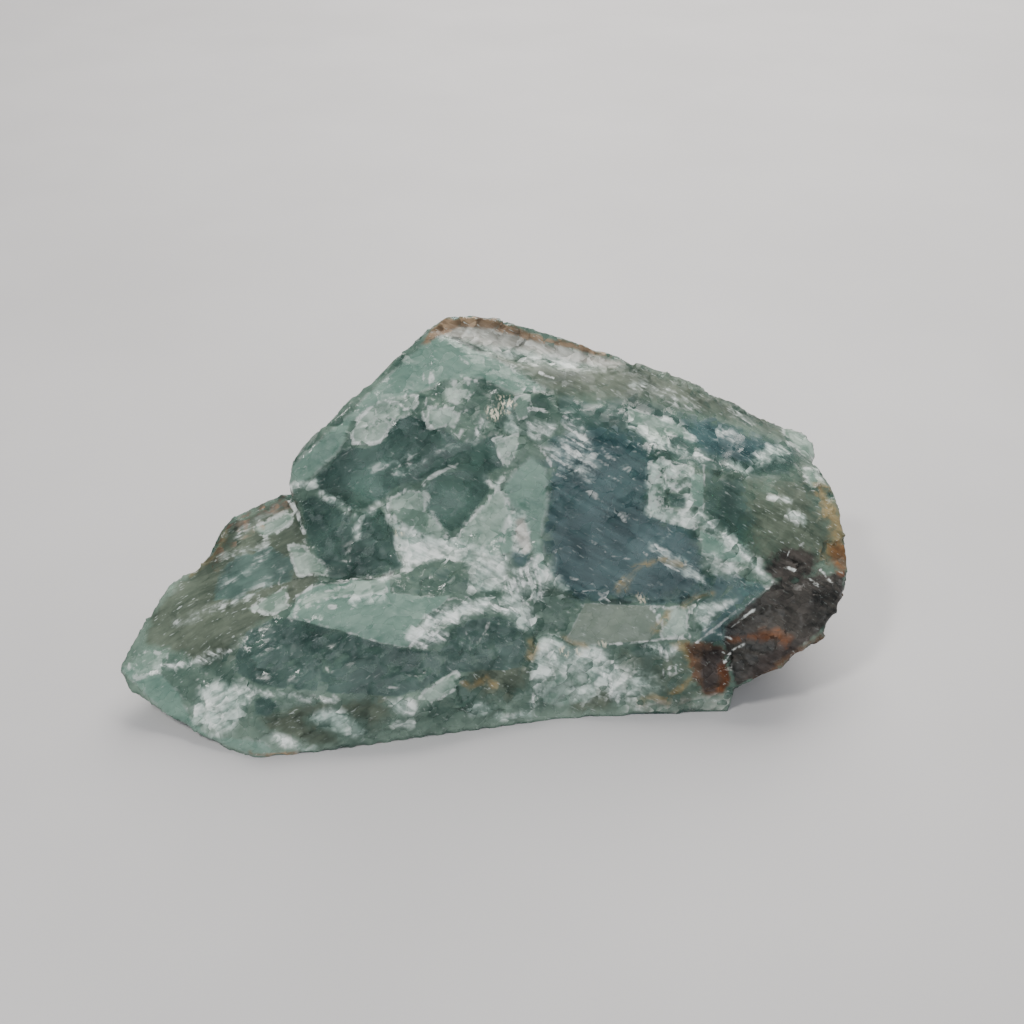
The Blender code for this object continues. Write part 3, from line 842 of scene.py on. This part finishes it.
@dataclass(frozen=True)
class Look:
    """How one kind of marking is coloured and edged.

    Args:
        dark: Its colour in its dark parts.
        light: Its colour in its light parts.
        ragged: How far shards move its edge, in picture points.
        soft: How wide its edge is, in picture points.
        strength: How much of what lies under it is covered.
        broken: How much its shards differ in tone and in painted shade.
        streaky: How much it is streaked.
        rim_glow: How bright the painted glow along its broken edge is.
        clear: How much light goes through it.
    """

    dark: tuple[float, float, float, float]
    light: tuple[float, float, float, float]
    ragged: float
    soft: float
    strength: float
    broken: float
    streaky: float
    rim_glow: float = 0.0
    clear: float = 0.0


FALLING = (0.883, -0.276, -0.380)
RISING = (0.866, 0.294, 0.405)
UPRIGHT = (0.17, -0.58, -0.80)
# the white of cracks and veins, also used for the painted glow along the edges of markings
BRIGHT = tone(238, 242, 238)

LOOKS = {
    Kind.OLIVE: Look(tone(62, 72, 60), tone(104, 112, 96), 5, 10, 0.9, 0.4, 1.6, clear=0.25),
    Kind.DEEP: Look(tone(52, 82, 77), tone(112, 146, 136), 3, 3, 0.92, 0.25, 0.8, clear=0.65),
    Kind.DUSK: Look(tone(44, 78, 83), tone(98, 132, 135), 5, 6, 0.92, 0.25, 1.8, clear=0.6),
    Kind.MINT: Look(tone(108, 142, 128), tone(158, 188, 172), 1.4, 2.4, 0.9, 0.35, 0.9, 0.15, 0.4),
    Kind.LEDGE: Look(tone(104, 120, 108), tone(142, 154, 140), 1.4, 2, 0.96, 0.15, 0.7, 0.2, 0.3),
    Kind.PALE: Look(tone(116, 140, 126), tone(190, 206, 194), 2.5, 4, 0.8, 1.1, 1.0, 0.5, 0.15),
    Kind.MILK: Look(tone(170, 190, 180), tone(242, 245, 240), 4.5, 7, 0.95, 0.8, 1.4),
    Kind.OCHRE: Look(tone(112, 98, 66), tone(168, 142, 94), 5, 7, 0.7, 0.5, 1.0),
    Kind.RUST: Look(tone(56, 40, 33), tone(112, 82, 64), 5, 6, 0.92, 0.6, 1.0),
    Kind.BROWN: Look(tone(36, 33, 33), tone(84, 76, 72), 5, 6, 0.95, 0.35, 1.7, clear=0.2),
    Kind.EMBER: Look(tone(82, 48, 30), tone(136, 86, 52), 4, 7, 0.7, 0.5, 1.0),
    Kind.CRUST: Look(tone(140, 136, 128), tone(222, 220, 212), 3, 5, 0.85, 0.8, 1.4),
    Kind.BARK: Look(tone(86, 66, 50), tone(164, 136, 108), 4, 4, 0.9, 0.8, 1.0),
    # painted shade in the gaps
    Kind.CREVICE_SHADE: Look(tone(16, 26, 24), tone(44, 58, 54), 4, 3, 0.8, 0.3, 1.0),
}


@dataclass(frozen=True)
class Haze:
    """A cloud of fine cracks in the stone: a thin haze with bright splinters in it.

    Args:
        along: The direction that its splinters run in.
        draw: How many times longer than wide they are.
        haze: How much the haze covers.
        splinters: How much the splinters cover.
    """

    along: tuple[float, float, float]
    draw: float
    haze: float
    splinters: float


HAZES = {
    Kind.VEIL: Haze(FALLING, 7.0, 0.7, 0.95),
    Kind.PLUME: Haze(RISING, 7.0, 0.45, 0.6),
    Kind.FROST: Haze(UPRIGHT, 4.0, 0.7, 0.95),
}


SHARD = 0.8 * MM  # size of the broken shards
SHARD_BUMP = 0.35 * MM  # how strongly they lean in the bump
MIST = 0.9 * MM  # size of the soft mottling
MIST_BUMP = 0.1 * MM
STREAK = 0.5 * MM  # width of the soft fibres
SPLINTER = 0.27 * MM  # width of the bright splinters in the cracks
SCRATCH = 0.17 * MM  # width of the fine scratches
GLITTER = 0.24 * MM  # size of the painted sparkling specks
LEFT_PART = -5.0  # where the fibres change direction, in millimetres along the stone
LEFT_WANDER = 8.0  # how far the clouds move that place, in millimetres
NEVER = -1000.0  # below every field
BODY_DARK = tone(70, 96, 86)
BODY_LIGHT = tone(132, 156, 140)
# painted glow of thin edges, as if lit through the stone
THIN_EDGE_GLOW = tone(164, 186, 168)
HAZE_TONE = tone(202, 214, 208)
SCRATCH_TONE = tone(206, 216, 210)
PAINTED_GLITTER_TONE = tone(250, 242, 214)
INSIDE = tone(150, 210, 182)
INSIDE_DENSITY = 45.0
BODY_CLEAR = 0.4
FLUORITE_IOR = 1.43
SHEEN = 0.1


class FluoriteFinish:
    """The stone's material: green glassy fluorite with its markings."""

    def __init__(self) -> None:
        """Lays out the shards, clouds and streaks that the whole stone shares, and the painted shade of its
        facets.
        """
        bench = NodeBench("rough_fluorite")
        self.bench = bench
        self.cloud = bench.attribute_named("cloud")
        self.small, self.small_rise = bench.shards(bench.mapped(bench.bent, SHARD, RISING, 1.5))
        self.mist = bench.noise(bench.mapped(bench.place, MIST))
        across = self.total((bench.part_of(bench.place, "X"), 1 / MM), (self.cloud, LEFT_WANDER))
        self.left = bench.math("LESS_THAN", across, LEFT_PART)
        self.streaks = bench.noise(self.combed(STREAK, 6.0))
        self.uneven = self.total((self.small, 0.6), (self.small_rise, 0.6), (self.mist, 1.6), less=1.1)
        # the facets' random tone and their painted shade: each patch and shard lighter or darker by its
        # lean, as if lit
        self.facet_tone_and_shade = self.total((bench.attribute_named("facet_tone_and_shade"), 1.0), (self.small, 0.5),
                                 (self.small_rise, 0.9), less=0.25)

    def combed(self, size: float, draw: float) -> bpy.types.NodeSocket:
        """Places for a pattern drawn out along the fibres, which rise on the left and fall on the right."""
        bench = self.bench
        return bench.choose(self.left, bench.mapped(bench.place, size, FALLING, draw),
                            bench.mapped(bench.place, size, RISING, draw))

    def total(self, *parts: tuple[bpy.types.NodeSocket, float], less: float = 0.0) -> bpy.types.NodeSocket:
        """Adds sockets up.

        Args:
            parts: Sockets, each with its weight.
            less: What is taken off the sum.

        Returns:
            The sum's socket.
        """
        result: object = -less
        for socket, weight in parts:
            node = self.bench.tree.nodes.new("ShaderNodeMath")
            node.operation = "MULTIPLY_ADD"
            for place, value in zip(node.inputs, (socket, weight, result)):
                self.bench.set(place, value)
            result = node.outputs[0]
        return result

    def build(self) -> bpy.types.Material:
        """Makes the material.

        Returns:
            The finished material.
        """
        bench = self.bench
        # the body's tone: clouds and streaks, and the painted shade of the facets
        shade = self.total((self.cloud, 1.0), (self.facet_tone_and_shade, 0.45), (self.streaks, 0.8), less=0.4)
        body = bench.mix(bench.between(shade, 0.0, 1.0, smooth=False), BODY_DARK, BODY_LIGHT)
        # painted glow: thin edges made paler, as if light shone through them
        body = bench.mix(bench.math("MULTIPLY", bench.attribute_named("thin"), 0.7), body, THIN_EDGE_GLOW)
        clear: object = BODY_CLEAR
        masks = {}
        for kind, look in LOOKS.items():
            if kind is Kind.OCHRE:
                body, clear = self.cracks(body, clear)
            body, masks[kind] = self.marked(body, kind, look)
            clear = self.towards(masks[kind], clear, look.clear)
        body = self.lines(body)

        height = self.total((self.small_rise, SHARD_BUMP), (self.mist, MIST_BUMP))
        bump = bench.tree.nodes.new("ShaderNodeBump")
        even = bench.math("MAXIMUM", clear, bench.between(bench.attribute(Kind.CALM), -2, 2, 0.0, 0.65))
        bench.set(bump.inputs["Strength"], bench.between(even, 0.3, 0.7, 0.8, 0.25, False))
        bump.inputs["Distance"].default_value = 1.0
        bench.set(bump.inputs["Height"], height)

        shader = bench.tree.nodes.new("ShaderNodeBsdfPrincipled")
        bench.set(shader.inputs["Base Color"], body)
        bench.set(shader.inputs["Normal"], bump.outputs[0])
        bench.set(shader.inputs["Transmission Weight"], clear)
        dull = self.total((masks[Kind.CRUST], 0.3), (masks[Kind.OLIVE], 0.3), (self.small, 0.28), less=-0.1)
        bench.set(shader.inputs["Roughness"], dull)
        shader.inputs["IOR"].default_value = FLUORITE_IOR
        shader.inputs["Specular IOR Level"].default_value = SHEEN
        bench.tree.links.new(shader.outputs[0], bench.output.inputs["Surface"])
        inside = bench.tree.nodes.new("ShaderNodeVolumeAbsorption")
        inside.inputs["Color"].default_value = INSIDE
        inside.inputs["Density"].default_value = INSIDE_DENSITY
        bench.tree.links.new(inside.outputs[0], bench.output.inputs["Volume"])
        return bench.material

    def towards(self, share: bpy.types.NodeSocket, start: object, end: float) -> bpy.types.NodeSocket:
        """Moves a value towards another by a share."""
        return self.bench.math("ADD", start, self.bench.math(
            "MULTIPLY", share, self.bench.math("SUBTRACT", end, start)))

    def marked(self, body: bpy.types.NodeSocket, kind: Kind, look: Look,
               ) -> tuple[bpy.types.NodeSocket, bpy.types.NodeSocket]:
        """Lays one kind of marking on the body.

        Args:
            body: The colour so far.
            kind: The kind of marking.
            look: How it looks.

        Returns:
            The colour with it on, and how much it covers.
        """
        bench = self.bench
        moved = self.total((bench.attribute(kind), 1.0), (self.uneven, look.ragged))
        mask = bench.between(moved, -look.soft / 2, look.soft / 2, 0.0, look.strength)
        if kind is Kind.MILK:
            thick = self.total((self.streaks, 1.6), (self.mist, 1.6), (self.facet_tone_and_shade, 0.4), less=1.05)
            mask = bench.math("MULTIPLY", mask, bench.between(thick, 0.0, 0.8, 0.4, 1.0))
        tint = self.total((self.cloud, 1.0), (self.facet_tone_and_shade, look.broken), (self.streaks, look.streaky),
                          less=0.5 * look.streaky)
        colour = bench.mix(bench.between(tint, 0.0, 1.0, smooth=False), look.dark, look.light)
        body = bench.mix(mask, body, colour)
        # painted glow along the broken edge of the marking
        if look.rim_glow:
            edge_glow = bench.between(bench.math("ABSOLUTE", moved), 0.3, 1.6, look.rim_glow, 0.0)
            edge_glow = bench.math("MULTIPLY", edge_glow, bench.between(self.mist, 0.42, 0.56))
            body = bench.mix(edge_glow, body, BRIGHT)
        return body, mask

    def cracks(self, body: bpy.types.NodeSocket, clear: bpy.types.NodeSocket,
               ) -> tuple[bpy.types.NodeSocket, bpy.types.NodeSocket]:
        """Lays the cloudy cracks on the body.

        Args:
            body: The colour so far.
            clear: How much light goes through so far.

        Returns:
            Both with the cracks on them.
        """
        bench = self.bench
        spot: object = (0.0, 0.0, 0.0)
        strongest: object = NEVER
        veil: object = 0.0
        bright: object = 0.0
        for kind, haze in HAZES.items():
            moved = self.total((bench.attribute(kind), 1.0), (self.uneven, 4.5))
            inside = bench.between(moved, -2.5, 5.5)
            here = bench.mapped(bench.bent, SPLINTER, haze.along, haze.draw)
            spot = bench.choose(bench.math("GREATER_THAN", moved, strongest), spot, here)
            strongest = bench.math("MAXIMUM", strongest, moved)
            veil = bench.math("MAXIMUM", veil, bench.math("MULTIPLY", inside, haze.haze))
            bright = bench.math("MAXIMUM", bright, bench.math("MULTIPLY", inside, haze.splinters))
        pick, rise = bench.shards(spot)
        level = self.total((self.mist, 2.2), (pick, 0.3), (rise, 0.4), (self.streaks, 1.6), less=1.55)
        veil = bench.math("MULTIPLY", veil, bench.between(level, 0.0, 1.0, 0.1, 1.0))
        bright = bench.math("MULTIPLY", bright, bench.between(pick, 0.6, 0.95))
        bright = bench.math("MULTIPLY", bright, bench.between(level, 0.15, 0.8, 0.1, 1.0))
        body = bench.mix(bright, bench.mix(veil, body, HAZE_TONE), BRIGHT)
        return body, self.towards(veil, clear, 0.0)

    def lines(self, body: bpy.types.NodeSocket) -> bpy.types.NodeSocket:
        """Lays the thin white veins, the scratches and the painted sparkling highlights on the body.

        Args:
            body: The colour so far.

        Returns:
            The colour with them on it.
        """
        bench = self.bench
        moved = self.total((bench.attribute(Kind.VEIN), 1.0), (self.uneven, 2.5), less=0.3)
        broken = bench.between(self.streaks, 0.3, 0.52, 0.3, 0.85)
        vein = bench.math("MULTIPLY", bench.between(moved, -0.8, 1.2), broken)
        body = bench.mix(vein, body, BRIGHT)
        scratches = bench.noise(self.combed(SCRATCH, 5.0), 1.0, 0.5)
        spread = bench.math("MULTIPLY", bench.between(self.mist, 0.44, 0.62, 0.0, 0.55),
                            bench.between(bench.attribute(Kind.BROWN), -2, 2, 1.0, 0.3))
        scratches = bench.math("MULTIPLY", bench.between(scratches, 0.62, 0.72), spread)
        body = bench.mix(scratches, body, SCRATCH_TONE)
        # painted highlights: sparkling specks laid where the glint markings are
        glint = bench.between(bench.attribute(Kind.PAINTED_GLINT), -3, 3)
        specks = bench.noise(bench.mapped(bench.place, GLITTER, UPRIGHT, 2.0), 1.0)
        painted_glitter = bench.between(specks, 0.5, 0.56)
        return bench.mix(bench.math("MULTIPLY", glint, painted_glitter), body, PAINTED_GLITTER_TONE)


SMOOTH_KINDS = (Kind.DEEP, Kind.DUSK, Kind.MINT, Kind.LEDGE, Kind.CALM)
GLASSY_DEPTH = 5.0  # picture points inside a clear face at which it is smoothest
GLASSY_CALM = 0.8  # share of its roughness that a clear face loses there
PATCH_LEAN = 0.2  # how steeply the cleaved patches lean
PATCH_STEP = 0.1 * MM  # how far they stand above each other
CHIP_LEAN = 0.18
CHIP_STEP = 0.03 * MM
GRIT = 0.7 * MM  # size of the soft unevenness
GRIT_RISE = 0.04 * MM
FOOT = 1.2 * MM  # height under which the surface is broken less
LOW_BAND = 1.6 * MM  # height under which the foot is smoothed
CLOUDS = ((4.5 * MM, 1.0), (2.0 * MM, 0.5), (0.95 * MM, 0.3))  # sizes and weights of the clouds
THIN = 3.0 * MM  # thickness over which the painted glow of a thin edge fades
RAY_START = 0.3 * MM  # how deep under the surface the rays for the thickness start
RAY_LIFT = 0.25 * MM  # how far over the surface the rays to the camera start
NEAR_CHIP = 1.6 * MM  # what a ray meets nearer than this doesn't hide the place
GRAZING = -0.06  # how far a place may face away from the camera and still be marked
FACING = 0.1  # how much more it faces the camera where it is marked fully
SHARP = math.radians(38)  # edges sharper than this are shaded sharp


@dataclass
class Stone:
    """The lump of fluorite.

    Args:
        camera: The camera that the markings are laid from.
        node: The plain solid that it is made from.
        grain: The size of the mesh's faces.
        patch: The size of the small cleaved patches.
        chip: The size of the smallest chips.
        even_out: How often the whole mesh is smoothed.
        polish: How often the clear faces are smoothed.
        shape: The visible stone, once it is modelled.
    """

    camera: PhotoCamera
    node: bpy.types.Object
    grain: float = 0.315 * MM
    patch: float = 2.3 * MM
    chip: float = 0.95 * MM
    even_out: int = 4
    polish: int = 12
    shape: bpy.types.Object | None = None

    def model(self) -> None:
        """Copies the stone's mesh, evens it out and breaks its surface."""
        mesh = self.node.data.copy()
        work = bmesh.new()
        work.from_mesh(mesh)
        bmesh.ops.remove_doubles(work, verts=work.verts, dist=0.001 * MM)
        work.to_mesh(mesh)
        work.free()
        mesh.materials.clear()
        self.shape = bpy.data.objects.new("fluorite_stone", mesh)
        bpy.context.scene.collection.objects.link(self.shape)
        even = self.shape.modifiers.new("even_grain", "REMESH")
        even.mode = "VOXEL"
        even.voxel_size = self.grain
        graph = bpy.context.evaluated_depsgraph_get()
        finer = bpy.data.meshes.new_from_object(self.shape.evaluated_get(graph))
        self.shape.modifiers.clear()
        self.shape.data = finer
        work = bmesh.new()
        work.from_mesh(finer)
        under = [vert for vert in work.verts if vert.co.z < self.grain / 2]
        self.smooth(work, work.verts, self.even_out)
        for vert in under:
            vert.co.z = 0.0
        work.to_mesh(finer)
        work.free()

    @staticmethod
    def smooth(work: bmesh.types.BMesh, verts: object, times: int) -> None:
        """Smooths some points of a mesh a number of times."""
        for _ in range(times):
            bmesh.ops.smooth_vert(work, verts=verts, factor=0.5,
                                  use_axis_x=True, use_axis_y=True, use_axis_z=True)

    def break_surface(self) -> None:
        """Leans small patches of the surface and chips it.

        Clear faces stay smooth, and the underside stays flat.
        """
        work = bmesh.new()
        work.from_mesh(self.shape.data)
        work.normal_update()
        glassy = [work.verts.layers.float[kind.value] for kind in SMOOTH_KINDS]
        faces = [vert for vert in work.verts
                 if vert.co.z > FOOT and max(vert[layer] for layer in glassy) > 1.0]
        self.smooth(work, faces, self.polish)
        low = [vert for vert in work.verts if vert.co.z < LOW_BAND]
        under = [vert for vert in low if vert.co.z < self.grain / 4]
        self.smooth(work, low, self.polish)
        for vert in under:
            vert.co.z = 0.0
        work.normal_update()
        moves = []
        for vert in work.verts:
            height = self.leaning(vert.co, self.patch, PATCH_LEAN, PATCH_STEP)
            height += self.leaning(vert.co, self.chip, CHIP_LEAN, CHIP_STEP)
            height += GRIT_RISE * noise.noise(vert.co / GRIT)
            inside = min(1.0, max(0.0, max(vert[layer] for layer in glassy) / GLASSY_DEPTH))
            height *= 1.0 - GLASSY_CALM * inside
            moves.append(vert.normal * height * min(1.0, max(0.0, vert.co.z / FOOT - 0.25)))
        for vert, move in zip(work.verts, moves):
            vert.co += move
        work.to_mesh(self.shape.data)
        work.free()

    @staticmethod
    def leaning(place: Vector, size: float, lean: float, step: float) -> float:
        """The height of a small cleaved patch.

        Args:
            place: A place on the stone.
            size: The size of a patch.
            lean: How steeply the patches lean.
            step: How far they stand above each other.

        Returns:
            The height at the place, in metres.
        """
        centre = noise.voronoi(place / size)[1][0]
        tilt = noise.cell_vector(centre * 7.0) - Vector((0.5, 0.5, 0.5))
        return lean * tilt.dot(place - centre * size) + step * (noise.cell(centre * 11.0) - 0.5)

    def mark(self) -> None:
        """Lays every marking on the mesh as a field."""
        mesh = self.shape.data
        places = np.empty(len(mesh.vertices) * 3, np.float64)
        mesh.vertices.foreach_get("co", places)
        places = places.reshape(-1, 3)
        points = self.camera.picture_points(places)
        seen = self.seen_share(places)
        markings = (SUMMIT_MARKINGS + CREST_MARKINGS + CENTRE_MARKINGS + LEDGE_MARKINGS + APRON_MARKINGS
                    + ARM_MARKINGS + SLOPE_MARKINGS)
        for turn, (kind, spread) in enumerate(SPREADS.items()):
            laid = np.full(len(points), -FAR)
            for marking in markings:
                if marking.kind is kind:
                    laid = np.maximum(laid, marking.field_at(points))
            offset = Vector((17.0 * turn, 5.0 * turn, 29.0))
            hidden = np.array([noise.noise(Vector(place) / spread.size + offset) for place in places])
            hidden += spread.lean * places[:, 0] / HALF_LENGTH
            hidden = np.clip((hidden - spread.level) * spread.gain, -FAR, FAR)
            value = seen * laid + (1 - seen) * hidden
            self.keep(kind.value, value)
        self.keep("thin", self.thinness(places))
        self.keep("cloud", np.array([self.cloud(Vector(place)) for place in places]))
        self.keep("facet_tone_and_shade", np.array([self.facet_shade_and_tone(Vector(place)) for place in places]))

    @staticmethod
    def cloud(place: Vector) -> float:
        """How pale the stone is inside at a place, from 0 to 1."""
        value = sum(share * noise.noise(place / size) for size, share in CLOUDS)
        return min(1.0, max(0.0, 0.5 + 0.45 * value))

    def facet_shade_and_tone(self, place: Vector) -> float:
        """Painted shade of a cleaved patch at a place, about 0: lighter or darker by its lean, plus a
        random tone.
        """
        spot = place / self.patch
        centre = noise.voronoi(spot)[1][0]
        lean = noise.cell_vector(centre * 5.0) - Vector((0.5, 0.5, 0.5))
        return lean.dot(spot - centre) + 0.4 * (noise.cell(centre * 3.0) - 0.5)

    def keep(self, name: str, values: np.ndarray) -> None:
        """Keeps one number for each point of the mesh."""
        layer = self.shape.data.attributes.new(name, "FLOAT", "POINT")
        layer.data.foreach_set("value", values.astype(np.float32))

    def thinness(self, places: np.ndarray) -> np.ndarray:
        """How thin the stone is under each place.

        Args:
            places: Places on the stone, one row each.

        Returns:
            From 0 where it is thick to 1 at a sharp edge.
        """
        tree, normals = self.skin()
        deep = np.empty(len(places))
        for index, (place, normal) in enumerate(zip(places, normals)):
            inward = -Vector(normal)
            reach = tree.ray_cast(Vector(place) + inward * RAY_START, inward)[3]
            deep[index] = reach if reach is not None else 0.0
        return np.exp(-deep / THIN)

    def skin(self) -> tuple[BVHTree, np.ndarray]:
        """The surface for casting rays at, and the direction that it faces at each point."""
        mesh = self.shape.data
        corners = [tuple(face.vertices) for face in mesh.polygons]
        tree = BVHTree.FromPolygons([vert.co for vert in mesh.vertices], corners)
        normals = np.empty(len(mesh.vertices) * 3, np.float64)
        mesh.vertices.foreach_get("normal", normals)
        return tree, normals.reshape(-1, 3)

    def seen_share(self, places: np.ndarray) -> np.ndarray:
        """How well the camera sees each place.

        Args:
            places: Places on the stone, one row each.

        Returns:
            From 0 for a hidden place to 1 for one that faces the camera.
        """
        tree, normals = self.skin()
        towards = np.array(self.camera.eye) - places
        towards /= np.linalg.norm(towards, axis=1)[:, None]
        facing = np.einsum("ij,ij->i", normals, towards)
        share = np.clip((facing - GRAZING) / FACING, 0.0, 1.0)
        for index in np.nonzero(share > 0)[0]:
            start = Vector(places[index]) + Vector(normals[index]) * RAY_LIFT
            reach = tree.ray_cast(start, Vector(towards[index]))[3]
            if reach is not None and reach > NEAR_CHIP:
                share[index] = 0.0
        return share

    def dress(self) -> None:
        """Shades the stone, gives it its material, and stands it in for the plain solid."""
        mesh = self.shape.data
        mesh.polygons.foreach_set("use_smooth", [True] * len(mesh.polygons))
        mesh.set_sharp_from_angle(angle=SHARP)
        mesh.materials.append(FluoriteFinish().build())
        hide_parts(NODE)
        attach(self.shape, "root")


AIM = Vector((0, 0, 10 * MM))  # the point that the lamps face


@dataclass(frozen=True)
class Lamp:
    """A soft window or reflector.

    Args:
        name: Its name.
        place: Where it hangs.
        size: The side of its square face.
        power: Its power, in watts.
        colour: Its colour.
    """

    name: str
    place: tuple[float, float, float]
    size: float
    power: float
    colour: tuple[float, float, float]

    def hang(self) -> None:
        """Hangs the lamp, facing the stone."""
        data = bpy.data.lights.new(self.name, "AREA")
        data.size = self.size
        data.energy = self.power
        data.color = self.colour
        lamp = bpy.data.objects.new(self.name, data)
        lamp.location = self.place
        aim = AIM - lamp.location
        lamp.rotation_euler = aim.to_track_quat("-Z", "Y").to_euler()
        bpy.context.scene.collection.objects.link(lamp)


@dataclass(frozen=True)
class Studio:
    """The pale surface, the soft light and the grey surroundings.

    Args:
        floor_side: The side of the square surface, in metres.
        surface: The two tones of the surface.
        surroundings: The colour of the surroundings.
        strength: How bright they are.
        lamps: The lamps.
    """

    floor_side: float = 3.0
    surface: tuple[tuple[float, ...], ...] = (tone(176, 174, 174), tone(182, 180, 180))
    surroundings: tuple[float, float, float, float] = (0.62, 0.66, 0.72, 1.0)
    strength: float = 0.55
    lamps: tuple[Lamp, ...] = (
        Lamp("window", (0.10, 0.46, 0.44), 0.5, 7.2, (1.0, 0.965, 0.92)),
        Lamp("fill", (0.10, -0.46, 0.34), 0.45, 1.6, (0.94, 0.97, 1.0)),
        Lamp("glint", (-0.26, -0.12, 0.44), 0.08, 1.5, (1.0, 0.98, 0.94)),
    )

    def build(self) -> None:
        """Lays the floor, hangs the lamps and sets the surroundings."""
        work = bmesh.new()
        bmesh.ops.create_grid(work, x_segments=1, y_segments=1, size=self.floor_side / 2)
        mesh = bpy.data.meshes.new("table")
        work.to_mesh(mesh)
        work.free()
        table = bpy.data.objects.new("table", mesh)
        bpy.context.scene.collection.objects.link(table)
        bench = NodeBench("table_top")
        shader = bench.tree.nodes.new("ShaderNodeBsdfPrincipled")
        cloud = bench.between(bench.noise(bench.mapped(bench.place, 60 * MM)), 0.3, 0.7)
        bench.set(shader.inputs["Base Color"], bench.mix(cloud, *self.surface))
        shader.inputs["Roughness"].default_value = 0.55
        bench.tree.links.new(shader.outputs[0], bench.output.inputs["Surface"])
        mesh.materials.append(bench.material)
        for lamp in self.lamps:
            lamp.hang()
        world = bpy.data.worlds.new("surroundings")
        world.use_nodes = True
        backdrop = world.node_tree.nodes["Background"]
        backdrop.inputs["Color"].default_value = self.surroundings
        backdrop.inputs["Strength"].default_value = self.strength
        bpy.context.scene.world = world


def main() -> None:
    """Builds the camera, the stone and the studio, and logs how many faces the stone has."""
    logging.basicConfig(level=logging.INFO, format="%(message)s")
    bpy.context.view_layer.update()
    camera = PhotoCamera()
    camera.stand()
    stone = Stone(camera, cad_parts[NODE])
    stone.model()
    stone.mark()
    stone.break_surface()
    stone.dress()
    LOG.info("stone: %d faces", len(stone.shape.data.polygons))
    Studio().build()
    LOG.info("studio ready")


if __name__ == "__main__":
    main()
